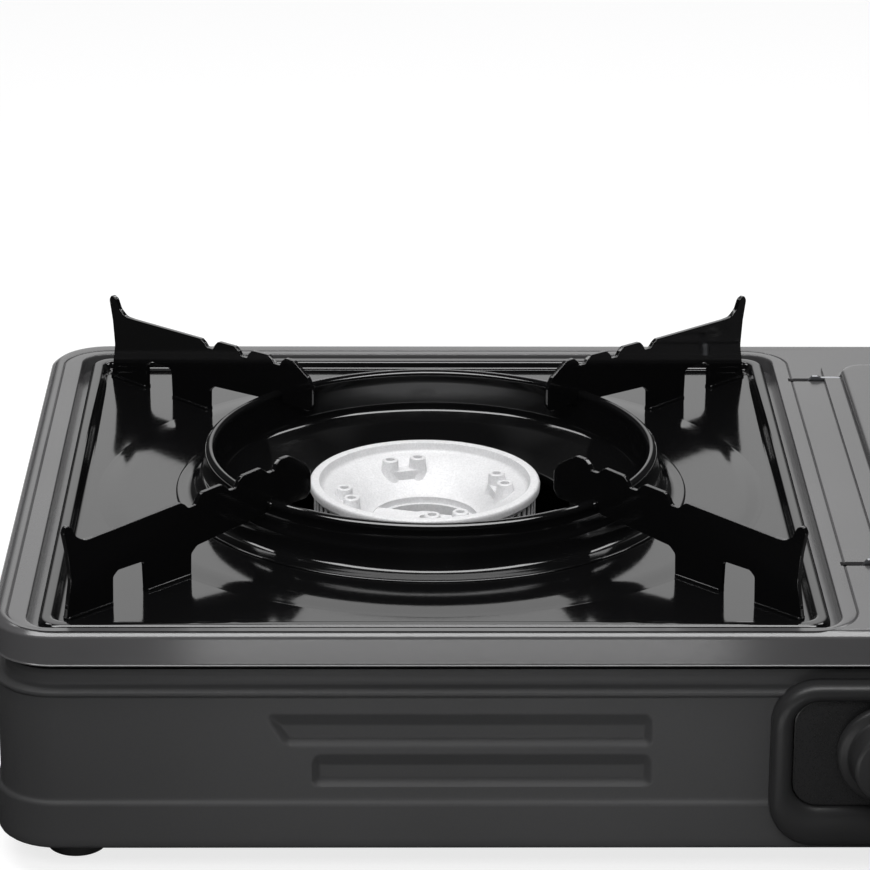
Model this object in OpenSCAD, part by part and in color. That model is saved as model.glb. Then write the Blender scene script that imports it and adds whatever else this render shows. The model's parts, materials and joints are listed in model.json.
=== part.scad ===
// Butane cassette stove. Millimetres, +Z up, front towards -Y, origin on the ground
// under the middle of the bounding box.

/* [Body] */
// Width of the top cover
body_w = 344; // [340:1:350]
// Depth of the top cover, front skirt to back skirt
body_d = 266; // [262:1:270]
// How far the knob stands out in front of the top cover
knob_reach = 20; // [18:1:22]
// Height of the case floor above the ground
foot_h = 9; // [8:0.5:10]
// Height of the tray plate above the ground
plate_z = 78; // [78:0.5:80]
// Thickness of the sheet steel
sheet = 1; // [0.8:0.1:1.2]
// Height of the cover's skirt
skirt_h = 11; // [10:0.5:12]
// Plan radius of the cover's corners
corner_r = 20; // [16:1:24]

/* [Tray and pan ring] */
// Width of the drip tray
tray_w = 238; // [234:1:240]
// Depth of the drip tray
tray_d = 245; // [240:1:246]
// Gap between tray and cover at the sides and the back
tray_gap = 3.4; // [3:0.1:4]
// Gap between tray and cover at the front
front_gap = 2; // [1.8:0.1:2.2]
// Height of the tray's rim above its plate
rim_h = 2.7; // [2.5:0.1:3]
// Outer radius of the pan ring
ring_r = 73.8; // [73:0.1:75]
// Width of the pan ring's rolled rim
ring_roll = 3.6; // [3.4:0.1:4]
// Height of the pan ring above the tray plate
ring_h = 15.9; // [15:0.1:17]
// Radius of the pan ring's flared foot
flare_r = 83.5; // [82:0.5:85]
// Thickness of the pan supports
support_t = 1.6; // [1.4:0.1:2]
// Height of the supports' outer horns above the tray plate
horn_h = 30.2; // [29:0.1:31]

/* [Burner] */
// Radius of the burner's rim
burner_r = 37.8; // [37:0.1:39]
// Height of the burner's rim above the tray plate
burner_top = 3; // [2:0.5:4]
// Radius of the hole in the middle of the burner
burner_hole_r = 17.3; // [16:0.1:18]
// Number of flame slots
slot_count = 48; // [36:12:60]
// Number of screw post pairs
post_pairs = 4; // [4:1:4]

/* [Cartridge bay] */
// Diameter of the gas cartridge that the bay holds
cartridge_dia = 67; // [66:0.5:67]
// Length of the gas cartridge body
cartridge_len = 185; // [180:1:186]
// How far the lock lever pushes the cartridge forward
lock_travel = 7; // [6:0.5:7]
// Angle through which the lock lever swings
lever_swing = 28; // [26:1:30]

/* [Hidden] */
$fn = 64;
eps = 0.01;

enamel = "#0c0c0d";
satin_grey = "#55555a";
panel_grey = "#3c3c3f";
plastic_black = "#202124";
cast_silver = "#c9cacc";
zinc = "#a9abb0";
brass = "#b5933f";

// Levels
cover_z = plate_z + rim_h;
skirt_z = cover_z - skirt_h;
cover_under = cover_z - sheet;
recess_h = 7.7;
panel_top = skirt_z - recess_h;
step_z = foot_h + 16.3;
floor_z = foot_h + sheet;

// Plan positions
body_y = knob_reach / 2;
front_y = body_y - body_d / 2;
back_y = body_y + body_d / 2;
right_x = body_w / 2;
tray_x = -38;
tray_y = 5;
burner_x = tray_x - 2;
burner_y = tray_y;
bay_x = 131;
bay_z = floor_z + 2 + cartridge_dia / 2;
partition_x = 87;

// Lower case: plan insets from the cover's outline
panel_in = 1.5;
step_in = 0.3;
recess_in = 4;
bead_h = 2.4;
bead_out = 0.8;

// Lid and its hinge
lid_y0 = -89;
lid_y1 = 119;
lid_x0 = 101;
hinge_x = 95.5;
hinge_z = 76;
hinge_r = 1.5;
ear_t = 1.5;
ear_places = [-68, 103.7];

// Gas line: from the burner towards the jet, in plan
line_angle = -32.5;
line_len = 150;
gas_z = 47;
tube_r = 9;
gate_y = burner_y + (partition_x + sheet / 2 - burner_x) * tan(line_angle);
gate_r = 15;

// Knob, valve and lever
knob_x = 98;
knob_z = 43.8;
knob_r = 15.6;
lever_x = 149.5;
lever_t = 2;
pivot_y = -84;
pivot_z = 42;
pin_arm = lock_travel / 2 / sin(lever_swing / 2);
drive_y = pivot_y + lock_travel / 2;
drive_z = pivot_z + pin_arm * cos(lever_swing / 2);
running_fit = 0.05;

// Control bezel
bezel_x0 = 63;
bezel_x1 = 163;
bezel_z0 = 12;
bezel_z1 = 65.4;
face_x0 = 69.5;
face_x1 = 156.5;
face_z0 = 25;
face_z1 = 60;
face_corner = 8;
bezel_reach = 5.5;

// ---------- helpers ----------

// Rectangle with true round corners
module round_rect(w, d, r) {
  union() {
    square([w - 2 * r, d], center = true);
    square([w, d - 2 * r], center = true);
    for (sx = [-1, 1], sy = [-1, 1])
      translate([sx * (w / 2 - r), sy * (d / 2 - r)]) circle(r);
  }
}

// Upright block with round corners and a round top edge
module soft_box(w, d, h, r, edge) {
  union() {
    linear_extrude(h - edge) round_rect(w, d, r);
    linear_extrude(h) round_rect(w - 2 * edge, d - 2 * edge, r - edge);
    for (s = [-1, 1]) {
      translate([-(w / 2 - r), s * (d / 2 - edge), h - edge])
        rotate([0, 90, 0]) cylinder(r = edge, h = w - 2 * r);
      translate([s * (w / 2 - edge), -(d / 2 - r), h - edge])
        rotate([-90, 0, 0]) cylinder(r = edge, h = d - 2 * r);
    }
    for (sx = [-1, 1], sy = [-1, 1])
      translate([sx * (w / 2 - r), sy * (d / 2 - r), h - edge])
        rotate_extrude() translate([r - edge, 0]) circle(edge);
  }
}

// Slot with round ends, cut along Z
module stadium(len, w, h) {
  linear_extrude(h) union() {
    square([len - w, w], center = true);
    for (s = [-1, 1]) translate([s * (len - w) / 2, 0]) circle(w / 2);
  }
}

// Cylinders along X and Y
module rod_x(r, len) { rotate([0, 90, 0]) cylinder(r = r, h = len); }
module rod_y(r, len) { rotate([-90, 0, 0]) cylinder(r = r, h = len); }

// Frame with its X axis along the gas line, seen from the burner
module along_line() {
  translate([burner_x, burner_y, 0]) rotate([0, 0, line_angle]) children();
}

// Round tube through a list of points, for the lead
function unit(v) = v / norm(v);
function way(p, i) = unit(p[min(i + 1, len(p) - 1)] - p[max(i - 1, 0)]);
function side_of(t) = unit(cross(t, abs(t[2]) > 0.9 ? [1, 0, 0] : [0, 0, 1]));
function ring_at(p, i, r, n) =
  let (t = way(p, i), a = side_of(t), b = cross(t, a))
  [for (k = [0 : n - 1]) p[i] + r * (cos(360 * k / n) * a + sin(360 * k / n) * b)];
module sweep_tube(p, r, n) {
  rings = len(p);
  points = [for (i = [0 : rings - 1]) each ring_at(p, i, r, n)];
  sides = [for (i = [0 : rings - 2], k = [0 : n - 1])
    [i * n + k, i * n + (k + 1) % n, (i + 1) * n + (k + 1) % n, (i + 1) * n + k]];
  start = [for (k = [0 : n - 1]) n - 1 - k];
  end = [for (k = [0 : n - 1]) (rings - 1) * n + k];
  polyhedron(points, concat([start], sides, [end]));
}

// ---------- case ----------

module case_shape(in, r, z0, z1) {
  translate([0, body_y, z0])
    linear_extrude(z1 - z0) round_rect(body_w - 2 * in, body_d - 2 * in, r);
}

// Long pressed-in grooves on the front panel: height, depth, middles and ends
groove_h = 9.3;
groove_deep = 1.6;
groove_slope = 2.6;
groove_z = [plate_z - 29.1, plate_z - 42.4];
groove_x = [[tray_x - 48.8, tray_x + 65.2], [tray_x - 36.6, tray_x + 65.2]];

// Flat-floored groove with sloping sides and round ends; grow adds the sheet's thickness
module groove(i, grow) {
  lean = groove_slope / groove_deep;
  out = 0.5;
  r_face = groove_h / 2 + grow * norm([1, lean]);
  h = groove_deep + grow;
  x0 = groove_x[i][0] + groove_h / 2;
  x1 = groove_x[i][1] - groove_h / 2;
  translate([0, front_y + panel_in, groove_z[i]]) {
    for (x = [x0, x1]) translate([x, -out, 0]) rotate([-90, 0, 0])
      cylinder(r1 = r_face + lean * out, r2 = r_face - lean * h, h = h + out);
    translate([x0, 0, 0]) rotate([90, 0, 90]) linear_extrude(x1 - x0)
      polygon([[-out, -r_face - lean * out], [h, -r_face + lean * h],
        [h, r_face - lean * h], [-out, r_face + lean * out]]);
  }
}

// Air slots in the floor under the burner
vent_rows = 4;
vent_len = 34;
vent_w = 4;
vent_pitch = 16;

module floor_vents() {
  for (row = [0 : vent_rows - 1], side = [-1, 1])
    translate([burner_x + side * 62, burner_y - 24 + row * vent_pitch, foot_h - eps])
      stadium(vent_len, vent_w, sheet + 2 * eps);
}

foot_x = 148;
foot_y = [-100, 118];
foot_places = [[-foot_x, foot_y[0]], [foot_x, foot_y[0]], [-foot_x, foot_y[1]], [foot_x, foot_y[1]]];
screw_r = 2;

screw_z = skirt_z - 3.8;
side_screws = [[-1, -60], [-1, 80], [1, -94]];
back_screws = [-120, -20, 70, 140];
wall_in = recess_in + sheet;

module lower_case() {
  color(panel_grey) difference() {
    union() {
      case_shape(step_in, corner_r, foot_h, step_z);
      case_shape(panel_in, corner_r - 1, step_z - eps, panel_top);
      case_shape(panel_in - bead_out, corner_r - 1, panel_top - bead_h, panel_top);
      case_shape(recess_in, corner_r - 3, panel_top - eps, cover_under);
    }
    difference() {
      union() {
        case_shape(step_in + sheet, corner_r - 1, floor_z, step_z - sheet);
        case_shape(panel_in + sheet, corner_r - 2, floor_z, panel_top - sheet);
        case_shape(recess_in + sheet, corner_r - 4, floor_z, cover_z);
      }
      for (i = [0, 1]) groove(i, sheet);
    }
    for (i = [0, 1]) groove(i, 0);
    // opening behind the control bezel
    translate([face_x0 + 3, front_y - 5, face_z0 + 1.6])
      cube([face_x1 - face_x0 - 4, 12, face_z1 - face_z0 - 3.2]);
    // lower front wall, under the tray well's ledge
    translate([tray_x - hole_w / 2 - 4, front_y - 5, well_z - sheet]) cube([hole_w + 8, 19, 20]);
    // low wall under the lid's right skirt
    translate([right_x - 12, lid_y0 + 3, skirt_z + 0.3])
      cube([20, lid_y1 - lid_y0 - 6, 20]);
    floor_vents();
    for (p = foot_places)
      translate([p[0], p[1], foot_h - 1]) cylinder(r = screw_r, h = 4);
    for (s = side_screws)
      translate([s[0] * (right_x - wall_in) - (s[0] < 0 ? 2 : 1), s[1], screw_z]) rod_x(1.5, 3);
    for (x = back_screws) translate([x, back_y - wall_in - 1, screw_z]) rod_y(1.5, 3);
  }
}

well_in = 8;
well_z = plate_z - 2.5;
hole_w = tray_w + 2 * tray_gap;
hole_corner = 9;
hole_d = tray_d + tray_gap + front_gap;
hole_y = tray_y + (tray_gap - front_gap) / 2;
cover_edge = 2;

module tray_frame(w, d, r, z0, z1) {
  translate([tray_x, tray_y, z0]) linear_extrude(z1 - z0) round_rect(w, d, r);
}

module well_frame(w, d, r, z0, z1) {
  translate([tray_x, hole_y, z0]) linear_extrude(z1 - z0) round_rect(w, d, r);
}

module cover_tab(x, y, turn) {
  translate([x, y, screw_z - 4]) rotate([0, 0, turn])
    translate([0, -6, 0]) cube([1.2, 12, cover_under - screw_z + 4 + eps]);
}

module top_cover() {
  color(satin_grey) difference() {
    union() {
      difference() {
        translate([0, body_y, skirt_z]) soft_box(body_w, body_d, skirt_h, corner_r, cover_edge);
        translate([0, body_y, skirt_z - 1])
          soft_box(body_w - 2 * sheet, body_d - 2 * sheet, skirt_h - sheet + 1,
            corner_r - sheet, cover_edge - sheet);
      }
      well_frame(hole_w + 2 * sheet, hole_d + 2 * sheet, hole_corner + sheet, well_z - sheet, cover_z - sheet / 2);
      for (s = side_screws)
        cover_tab(s[0] * (right_x - wall_in) - (s[0] > 0 ? 1.2 : 0), s[1], 0);
      for (x = back_screws) cover_tab(x, back_y - wall_in, -90);
    }
    well_frame(hole_w, hole_d, hole_corner, well_z, cover_z + 1);
    well_frame(hole_w - 2 * well_in, hole_d - 2 * well_in, 6, well_z - 5, cover_z + 1);
    // cartridge bay, open to the right
    translate([lid_x0 + 1, lid_y0 + 3, skirt_z - 1]) cube([100, lid_y1 - lid_y0 - 6, 30]);
    // slots for the lid's ears
    for (y = ear_places) translate([hinge_x - 7, y - 1.6, cover_z - 5]) cube([14.6, 3.2, 10]);
    for (s = side_screws)
      translate([s[0] * (right_x - wall_in) - 2, s[1], screw_z]) rod_x(1.5, 4);
    for (x = back_screws) translate([x, back_y - wall_in - 3, screw_z]) rod_y(1.5, 4);
  }
}

module case_screws() {
  color(zinc) {
    for (s = side_screws) {
      translate([s[0] * (right_x - wall_in) - (s[0] < 0 ? 1 : 1.2), s[1], screw_z]) rod_x(1.5, 2.2);
      translate([s[0] * (right_x - recess_in) - (s[0] < 0 ? 1.2 : 0), s[1], screw_z]) rod_x(2.7, 1.2);
    }
    for (x = back_screws) {
      translate([x, back_y - wall_in - 1.2, screw_z]) rod_y(1.5, 2.2);
      translate([x, back_y - recess_in, screw_z]) rod_y(2.7, 1.2);
    }
  }
}

module heat_partition() {
  color(zinc) difference() {
    translate([partition_x, front_y + 6, floor_z]) cube([sheet, body_d - 14, cover_under - floor_z]);
    translate([partition_x - 5, gate_y, gas_z]) rod_x(gate_r, 10);
    translate([partition_x - 5, burner_y - 0.5, 35.5]) cube([10, 15, 2.5]);
    translate([partition_x - 5, lead_gate_y, lead_gate_z]) rod_x(3, 10);
  }
}

module foot(place) {
  color("#17181a") translate([place[0], place[1], 0]) difference() {
    cylinder(r1 = 9, r2 = 10, h = foot_h, $fn = 48);
    translate([0, 0, -1]) cylinder(r = 4.5, h = 4);
    cylinder(r = screw_r, h = foot_h + 1);
  }
}

module foot_screws() {
  color(zinc) for (p = foot_places) translate([p[0], p[1], 0]) {
    translate([0, 0, 3]) cylinder(r = screw_r, h = foot_h + 2);
    translate([0, 0, 1.2]) cylinder(r = 3.5, h = 1.8);
  }
}

// ---------- control panel ----------

module front_slab(x0, x1, z0, z1, r, y, t) {
  translate([(x0 + x1) / 2, y + t, (z0 + z1) / 2]) rotate([90, 0, 0])
    linear_extrude(t) round_rect(x1 - x0, z1 - z0, r);
}

bezel_front = front_y - bezel_reach;
face_t = 1.8;
face_y = front_y - 2.2;
slot_x = lever_x + lever_t / 2;
slot_w = 6;
slot_z0 = pivot_z - 15;
slot_z1 = pivot_z + 15;

module control_bezel() {
  color(plastic_black) difference() {
    union() {
      front_slab(bezel_x0, bezel_x1, bezel_z0, bezel_z1, 14, front_y - 4, 12);
      front_slab(bezel_x0 + 1.6, bezel_x1 - 1.6, bezel_z0 + 1.6, bezel_z1 - 1.6, 12.4, bezel_front, 4);
    }
    front_slab(face_x0, face_x1, face_z0, face_z1, face_corner, bezel_front - 1, 20);
    case_shape(step_in, corner_r, foot_h, step_z);
    case_shape(panel_in, corner_r - 1, step_z - eps, panel_top);
    case_shape(panel_in - bead_out, corner_r - 1, panel_top - bead_h, skirt_z + 1);
  }
}

module bezel_face() {
  color("#1a1b1d") difference() {
    front_slab(face_x0, face_x1, face_z0, face_z1, face_corner, face_y, face_t);
    translate([knob_x, face_y - 1, knob_z]) rod_y(6, 5);
    front_slab(slot_x - slot_w / 2, slot_x + slot_w / 2, slot_z0, slot_z1, 0.8, face_y - 1, face_t + 2);
  }
}

// ---------- tray, ring and supports ----------

rim_flat = 3.7;
tray_corner = 7;
emboss_r = 101;
emboss_h = 0.5;
tray_hole_r = 78;

module drip_tray() {
  inner_w = tray_w - 2 * rim_flat;
  inner_d = tray_d - 2 * rim_flat;
  color(enamel) difference() {
    union() {
      difference() {
        tray_frame(tray_w, tray_d, tray_corner, well_z, cover_z);
        tray_frame(tray_w - 2 * sheet, tray_d - 2 * sheet, tray_corner - sheet, well_z - 1, cover_z - sheet);
      }
      tray_frame(inner_w + 2 * sheet, inner_d + 2 * sheet, tray_corner - 1.5, plate_z - sheet, cover_z - eps);
    }
    difference() {
      tray_frame(inner_w, inner_d, tray_corner - 2.5, plate_z, cover_z + 1);
      translate([tray_x, tray_y, plate_z - sheet]) cylinder(r = emboss_r, h = sheet + emboss_h, $fn = 96);
    }
    translate([tray_x, tray_y, plate_z - sheet - 1]) cylinder(r = emboss_r - sheet, h = 1 + emboss_h);
    translate([tray_x, tray_y, plate_z - 5]) cylinder(r = tray_hole_r, h = 10);
  }
}

ring_t = 0.9;
foot_level = plate_z + emboss_h;
roll_r = ring_roll / 2;
roll_r_mid = ring_r - roll_r;
roll_z = plate_z + ring_h - roll_r;
crease_z = plate_z + 2.6;
bowl_hole_r = 46;
bowl_z = plate_z - 8;

// Half section of the ring: flared foot, outer wall, rolled rim, inner wall and bowl
module ring_section() {
  flare = 5.5;
  difference() {
    union() {
      translate([roll_r_mid, roll_z]) circle(roll_r);
      polygon([[roll_r_mid - roll_r, crease_z], [roll_r_mid + roll_r + 1.2, foot_level + flare],
        [ring_r, roll_z], [roll_r_mid - roll_r, roll_z]]);
      translate([ring_r + 1.2 - ring_t, foot_level]) square([ring_t, flare + 0.4]);
      difference() {
        translate([ring_r + 1.2 - ring_t, foot_level])
          square([flare + ring_t, flare]);
        translate([ring_r + 1.2 + flare, foot_level + flare + ring_t]) circle(flare);
      }
      translate([ring_r, foot_level]) square([flare_r - ring_r, ring_t]);
      translate([flare_r - 0.8, foot_level + 0.88]) circle(0.72);
      polygon([[roll_r_mid - roll_r, crease_z + 1.2], [roll_r_mid - roll_r, crease_z],
        [bowl_hole_r, bowl_z], [bowl_hole_r, bowl_z - ring_t],
        [roll_r_mid - roll_r + 1.4, crease_z - ring_t], [roll_r_mid - roll_r + 1.4, crease_z + 1.2]]);
      translate([bowl_hole_r, bowl_z - ring_t]) square([ring_t, 2.6]);
    }
    translate([roll_r_mid, roll_z]) circle(roll_r - ring_t);
    polygon([[roll_r_mid - roll_r + ring_t, crease_z - 3], [roll_r_mid + roll_r - ring_t + 1, foot_level - 1],
      [roll_r_mid + roll_r - ring_t, roll_z], [roll_r_mid - roll_r + ring_t, roll_z]]);
  }
}

module pan_ring() {
  color(enamel) translate([tray_x, tray_y, 0]) rotate_extrude($fn = 128) ring_section();
}

// Side view of a support: s outwards from the ring's centre, z above the tray plate
top_z = horn_h - 5.2;
module support_side() {
  difference() {
    polygon([
      [157.4, 0], [155.5, 12], [156.1, 20], [157.6, horn_h - 2], [156.8, horn_h],
      [154.4, horn_h - 1], [152.2, top_z + 0.6], [149.4, top_z - 1.3], [145.6, top_z - 1.4],
      [110, top_z], [107.6, top_z - 2.4], [104.6, top_z - 2.4], [102.2, top_z + 0.9],
      [92.8, top_z + 1.4], [90.2, top_z - 1.4], [87.4, top_z - 1.4], [85.4, top_z + 1.7],
      [76.2, top_z + 2.3], [73.8, top_z], [71.2, top_z], [69, top_z + 2.7],
      [64.2, top_z + 3.3], [57.2, top_z - 1.2], [55.1, top_z - 4.2], [55.1, 14], [56.8, 12.2],
      [69.5, 11.9], [75, 11.6], [104.6, 9.1], [106.4, 7.4], [106.6, 0], [125.4, 0],
      [125.7, 9.4], [127, 10.3], [136.6, 10.2], [138.3, 8.7], [138.6, 0]]);
    // notch that straddles the ring's wall
    translate([ring_r - ring_roll - 0.1, 0]) square([ring_roll + 1.4, ring_h]);
  }
}

module pan_support(turn) {
  color(enamel) translate([tray_x, tray_y, plate_z]) rotate([0, 0, turn])
    rotate([90, 0, 0]) translate([0, 0, -support_t / 2]) linear_extrude(support_t) support_side();
}

// ---------- burner ----------

rim_t = 2;
rim_in = 4;
head_z = plate_z + burner_top;
head_floor = plate_z - 12;
flange_t = 2.6;
dish_z = plate_z - 9.4;
port_wall_r = burner_r - 1.4;
post_ring_r = 27;
post_z = plate_z + 1.1;

module head_section() {
  wall = 2.5;
  difference() {
    union() {
      translate([burner_hole_r, head_floor]) square([port_wall_r - burner_hole_r, head_z - head_floor - rim_t]);
      translate([burner_r - rim_in - 2, head_z - rim_t]) square([rim_in + 2, rim_t]);
    }
    // dish
    polygon([[burner_hole_r - 1, dish_z], [burner_hole_r + 0.6, dish_z], [burner_r - rim_in - 2, head_z - 4.4],
      [burner_r - rim_in, head_z - 3.2], [burner_r - rim_in, head_z + 1], [burner_hole_r - 1, head_z + 1]]);
    // gas chamber
    polygon([[26, head_floor + flange_t + 1], [port_wall_r - wall, head_floor + flange_t],
      [port_wall_r - wall, head_z - 7.4], [32, head_z - 7.6]]);
  }
}

module burner_head() {
  color(cast_silver) translate([burner_x, burner_y, 0]) difference() {
    union() {
      rotate_extrude($fn = 96) head_section();
      translate([0, 0, head_floor - 3]) difference() {
        cylinder(r = 27.4, h = 3 + eps);
        translate([0, 0, -1]) cylinder(r = 25, h = 6);
      }
      for (i = [0 : post_pairs - 1], s = [-1, 1])
        rotate([0, 0, 15 + 360 / post_pairs * i + 11.5 * s]) translate([post_ring_r, 0, dish_z + 1])
          cylinder(r = 2, h = post_z - dish_z - 1, $fn = 24);
      for (i = [0 : post_pairs - 1]) rotate([0, 0, 15 + 360 / post_pairs * i])
        translate([post_ring_r - 0.7, -5, dish_z + 1]) cube([1.4, 10, post_z - dish_z - 4]);
    }
    for (i = [0 : post_pairs - 1], s = [-1, 1])
      rotate([0, 0, 15 + 360 / post_pairs * i + 11.5 * s]) translate([post_ring_r, 0, post_z - 4])
        cylinder(r = 1, h = 5, $fn = 24);
    for (i = [0 : slot_count - 1]) rotate([0, 0, (i + 0.5) * 360 / slot_count])
      translate([port_wall_r - 3, -0.6, head_floor + flange_t + 0.4]) cube([5, 1.2, 5.6]);
    // gas inlet from the base
    for (i = [0 : 3]) rotate([0, 0, 45 + 90 * i])
      translate([22.5, 0, head_floor - 4]) cylinder(r = 2, h = 8, $fn = 24);
  }
}

module burner_bridge() {
  arm_t = 1.6;
  arm_w = 7;
  color(cast_silver) translate([burner_x, burner_y, head_floor + 0.2]) difference() {
    intersection() {
      union() {
        cylinder(r = 5, h = arm_t);
        for (turn = [-17, 163]) rotate([0, 0, turn])
          translate([0, -arm_w / 2, 0]) cube([burner_hole_r + 1, arm_w, arm_t]);
      }
      cylinder(r = burner_hole_r, h = 10);
    }
    translate([0, 0, -1]) cylinder(r = 1.7, h = 4, $fn = 24);
  }
}

base_r = 30;
base_z = 36;
base_top = head_floor;
trough_out = 27.5;
trough_in = 18.6;
draught_r = 16;

module burner_base() {
  color(cast_silver) difference() {
    translate([burner_x, burner_y, base_z]) cylinder(r = base_r, h = base_top - base_z);
    translate([burner_x, burner_y, base_z + 2.5]) difference() {
      cylinder(r = trough_out, h = 60);
      translate([0, 0, -1]) cylinder(r = trough_in, h = 70);
    }
    translate([burner_x, burner_y, base_z - 1]) cylinder(r = draught_r, h = 60);
    along_line() translate([trough_in + 3, 0, gas_z]) rod_x(tube_r, 20);
  }
}

stand_top = base_z;
stand_t = 1.5;
stand_half = 42;
stand_deep = 30;

module burner_stand() {
  color(zinc) translate([burner_x, burner_y, 0]) difference() {
    union() {
      translate([-stand_half, -stand_deep / 2, stand_top - stand_t]) cube([2 * stand_half, stand_deep, stand_t]);
      for (s = [-1, 1]) {
        translate([s * (stand_half - stand_t / 2) - stand_t / 2, -stand_deep / 2, floor_z])
          cube([stand_t, stand_deep, stand_top - floor_z]);
        translate([s * (stand_half + 6) - 6, -stand_deep / 2, floor_z]) cube([12, stand_deep, stand_t]);
      }
    }
    translate([0, 0, stand_top - 5]) cylinder(r = draught_r, h = 10);
    for (s = [-1, 1]) translate([s * (stand_half + 6), 0, floor_z - 1]) cylinder(r = 1.6, h = 5, $fn = 24);
  }
}

module stand_screws() {
  color(zinc) for (s = [-1, 1]) translate([burner_x + s * (stand_half + 6), burner_y, floor_z]) {
    cylinder(r = 1.6, h = stand_t + eps, $fn = 24);
    translate([0, 0, stand_t]) cylinder(r = 3, h = 1.8, $fn = 24);
  }
}

tube_start = base_r - 0.6;
tube_end = line_len - 13;
mouth_r = tube_r + 2;
plate_t = 1.4;

module mixing_tube() {
  color(zinc) along_line() translate([0, 0, gas_z]) difference() {
    union() {
      translate([tube_start, 0, 0]) rod_x(tube_r, tube_end - tube_start);
      translate([tube_end - 4, 0, 0]) rotate([0, 90, 0]) cylinder(r1 = tube_r, r2 = mouth_r, h = 4);
    }
    translate([tube_start - 1, 0, 0]) rod_x(tube_r - 1.2, tube_end);
    translate([0, 0, base_z - gas_z - 5]) cylinder(r = base_r, h = 60);
  }
}

// Saddle under the tube's mouth, with the plate that the jet clamps to the valve
module tube_saddle() {
  color(zinc) along_line() translate([0, 0, gas_z]) difference() {
    union() {
      translate([tube_end - 14, -6, -mouth_r - 1.2]) cube([line_len - tube_end + 14, 12, 1.2]);
      translate([tube_end - 14, -6, -mouth_r - eps]) cube([8, 12, mouth_r - 5]);
      translate([line_len - plate_t, -6, -mouth_r - eps]) cube([plate_t, 12, mouth_r + 6]);
    }
    translate([tube_end - 15, 0, 0]) rod_x(tube_r, 12);
    translate([line_len - 5, 0, 0]) rod_x(3, 10);
  }
}

module gas_jet() {
  color(brass) along_line() translate([0, 0, gas_z]) difference() {
    union() {
      translate([line_len - plate_t - 6, 0, 0]) rotate([0, 90, 0]) cylinder(r = 4.4, h = 6, $fn = 6);
      translate([line_len - plate_t - 9, 0, 0]) rod_x(2.4, 4);
      translate([line_len - plate_t - eps, 0, 0]) rod_x(3, 8);
    }
    translate([line_len - plate_t - 10, 0, 0]) rod_x(0.4, 5);
    translate([line_len - plate_t - 7, 0, 0]) rod_x(1.3, 20);
  }
}

electrode_turn = -80;
electrode_r = 42;
wire_r = 0.8;
ceramic_r = 2.5;
clip_z = 57;

module at_electrode() {
  translate([burner_x, burner_y, 0]) rotate([0, 0, electrode_turn]) children();
}

module electrode_rod() {
  color(zinc) at_electrode() translate([electrode_r, 0, 46]) cylinder(r = wire_r, h = head_z - 2 - 46);
}

module electrode_ceramic() {
  color("#f2f0e8") at_electrode() translate([electrode_r, 0, 49]) difference() {
    union() {
      cylinder(r = ceramic_r, h = 23);
      translate([0, 0, clip_z - 49 + 1.5]) cylinder(r = ceramic_r + 0.9, h = 2);
    }
    translate([0, 0, -1]) cylinder(r = wire_r, h = 30);
  }
}

module electrode_bracket() {
  color(zinc) difference() {
    at_electrode() difference() {
      union() {
        translate([base_r - 1, -5, clip_z]) cube([electrode_r + 6 - base_r, 10, 1.5]);
        translate([base_r - 1, -5, clip_z - 6]) cube([2.2, 10, 7]);
      }
      translate([electrode_r, 0, clip_z - 1]) cylinder(r = ceramic_r, h = 4);
    }
    translate([burner_x, burner_y, base_z]) cylinder(r = base_r, h = 60);
  }
}

module heat_strip() {
  color(cast_silver) {
    translate([burner_x + base_r + 0.5, burner_y, stand_top]) cube([94 - burner_x - base_r - 0.5, 14, 1.5]);
    translate([94 - eps, burner_y - 20, 30]) cube([1.5, 54, 30]);
  }
}

// ---------- valve, regulator, igniter ----------

bracket_y = -111;
bracket_t = 1.2;
valve_y0 = bracket_y + bracket_t;
valve_y1 = -76;
valve_z0 = 34;
valve_z1 = 54.6;
reg_r = 15;
flange_r = 17.8;
cap_screw_r = 16;
reg_x = bay_x;
reg_y0 = -98;
reg_y1 = -76;
spindle_r = 3;

module valve_body() {
  color(cast_silver) difference() {
    union() {
      translate([89.5, valve_y0, valve_z0]) cube([20.5, valve_y1 - valve_y0, valve_z1 - valve_z0]);
      along_line() translate([line_len, 0, gas_z]) rod_x(5.5, 18);
    }
    translate([knob_x, valve_y0 - 1, knob_z]) rod_y(spindle_r + running_fit, 16);
    along_line() translate([line_len - 2, 0, gas_z]) rod_x(3, 10);
    along_line() translate([line_len - 2, 0, gas_z]) rod_x(1.5, 20);
  }
}

module regulator_body() {
  color(cast_silver) difference() {
    union() {
      translate([reg_x, reg_y0, bay_z]) rod_y(reg_r, reg_y1 - reg_y0);
      translate([110, -88, bay_z]) rod_x(6, reg_x - 110);
      translate([reg_x, reg_y0, bay_z]) rod_y(flange_r, 3);
    }
    translate([reg_x, reg_y0 - 1, bay_z]) rod_y(13, 16);
    translate([reg_x, -90, bay_z]) rod_y(5, 30);
    translate([100, -88, bay_z]) rod_x(2, 20);
    for (i = [0 : 3]) translate([reg_x, reg_y0 - 1, bay_z]) rotate([0, 45 + 90 * i, 0])
      translate([cap_screw_r, 0, 0]) rod_y(1, 4);
  }
}

module regulator_diaphragm() {
  color("#7b3b2e") translate([reg_x, reg_y0 - 1, bay_z]) rod_y(reg_r - 1, 1);
}

cap_y = reg_y0 - 1;
cap_deep = 7;
spring_r = 8;

module regulator_spring() {
  turns = 4;
  steps = 10;
  wire = 0.5;
  pitch = (cap_deep - 2 * wire) / turns;
  coil = [for (i = [0 : turns * steps]) [
    reg_x + spring_r * cos(360 * i / steps),
    cap_y - wire - pitch * i / steps,
    bay_z + spring_r * sin(360 * i / steps)]];
  color(zinc) sweep_tube(coil, wire, 8);
}

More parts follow.
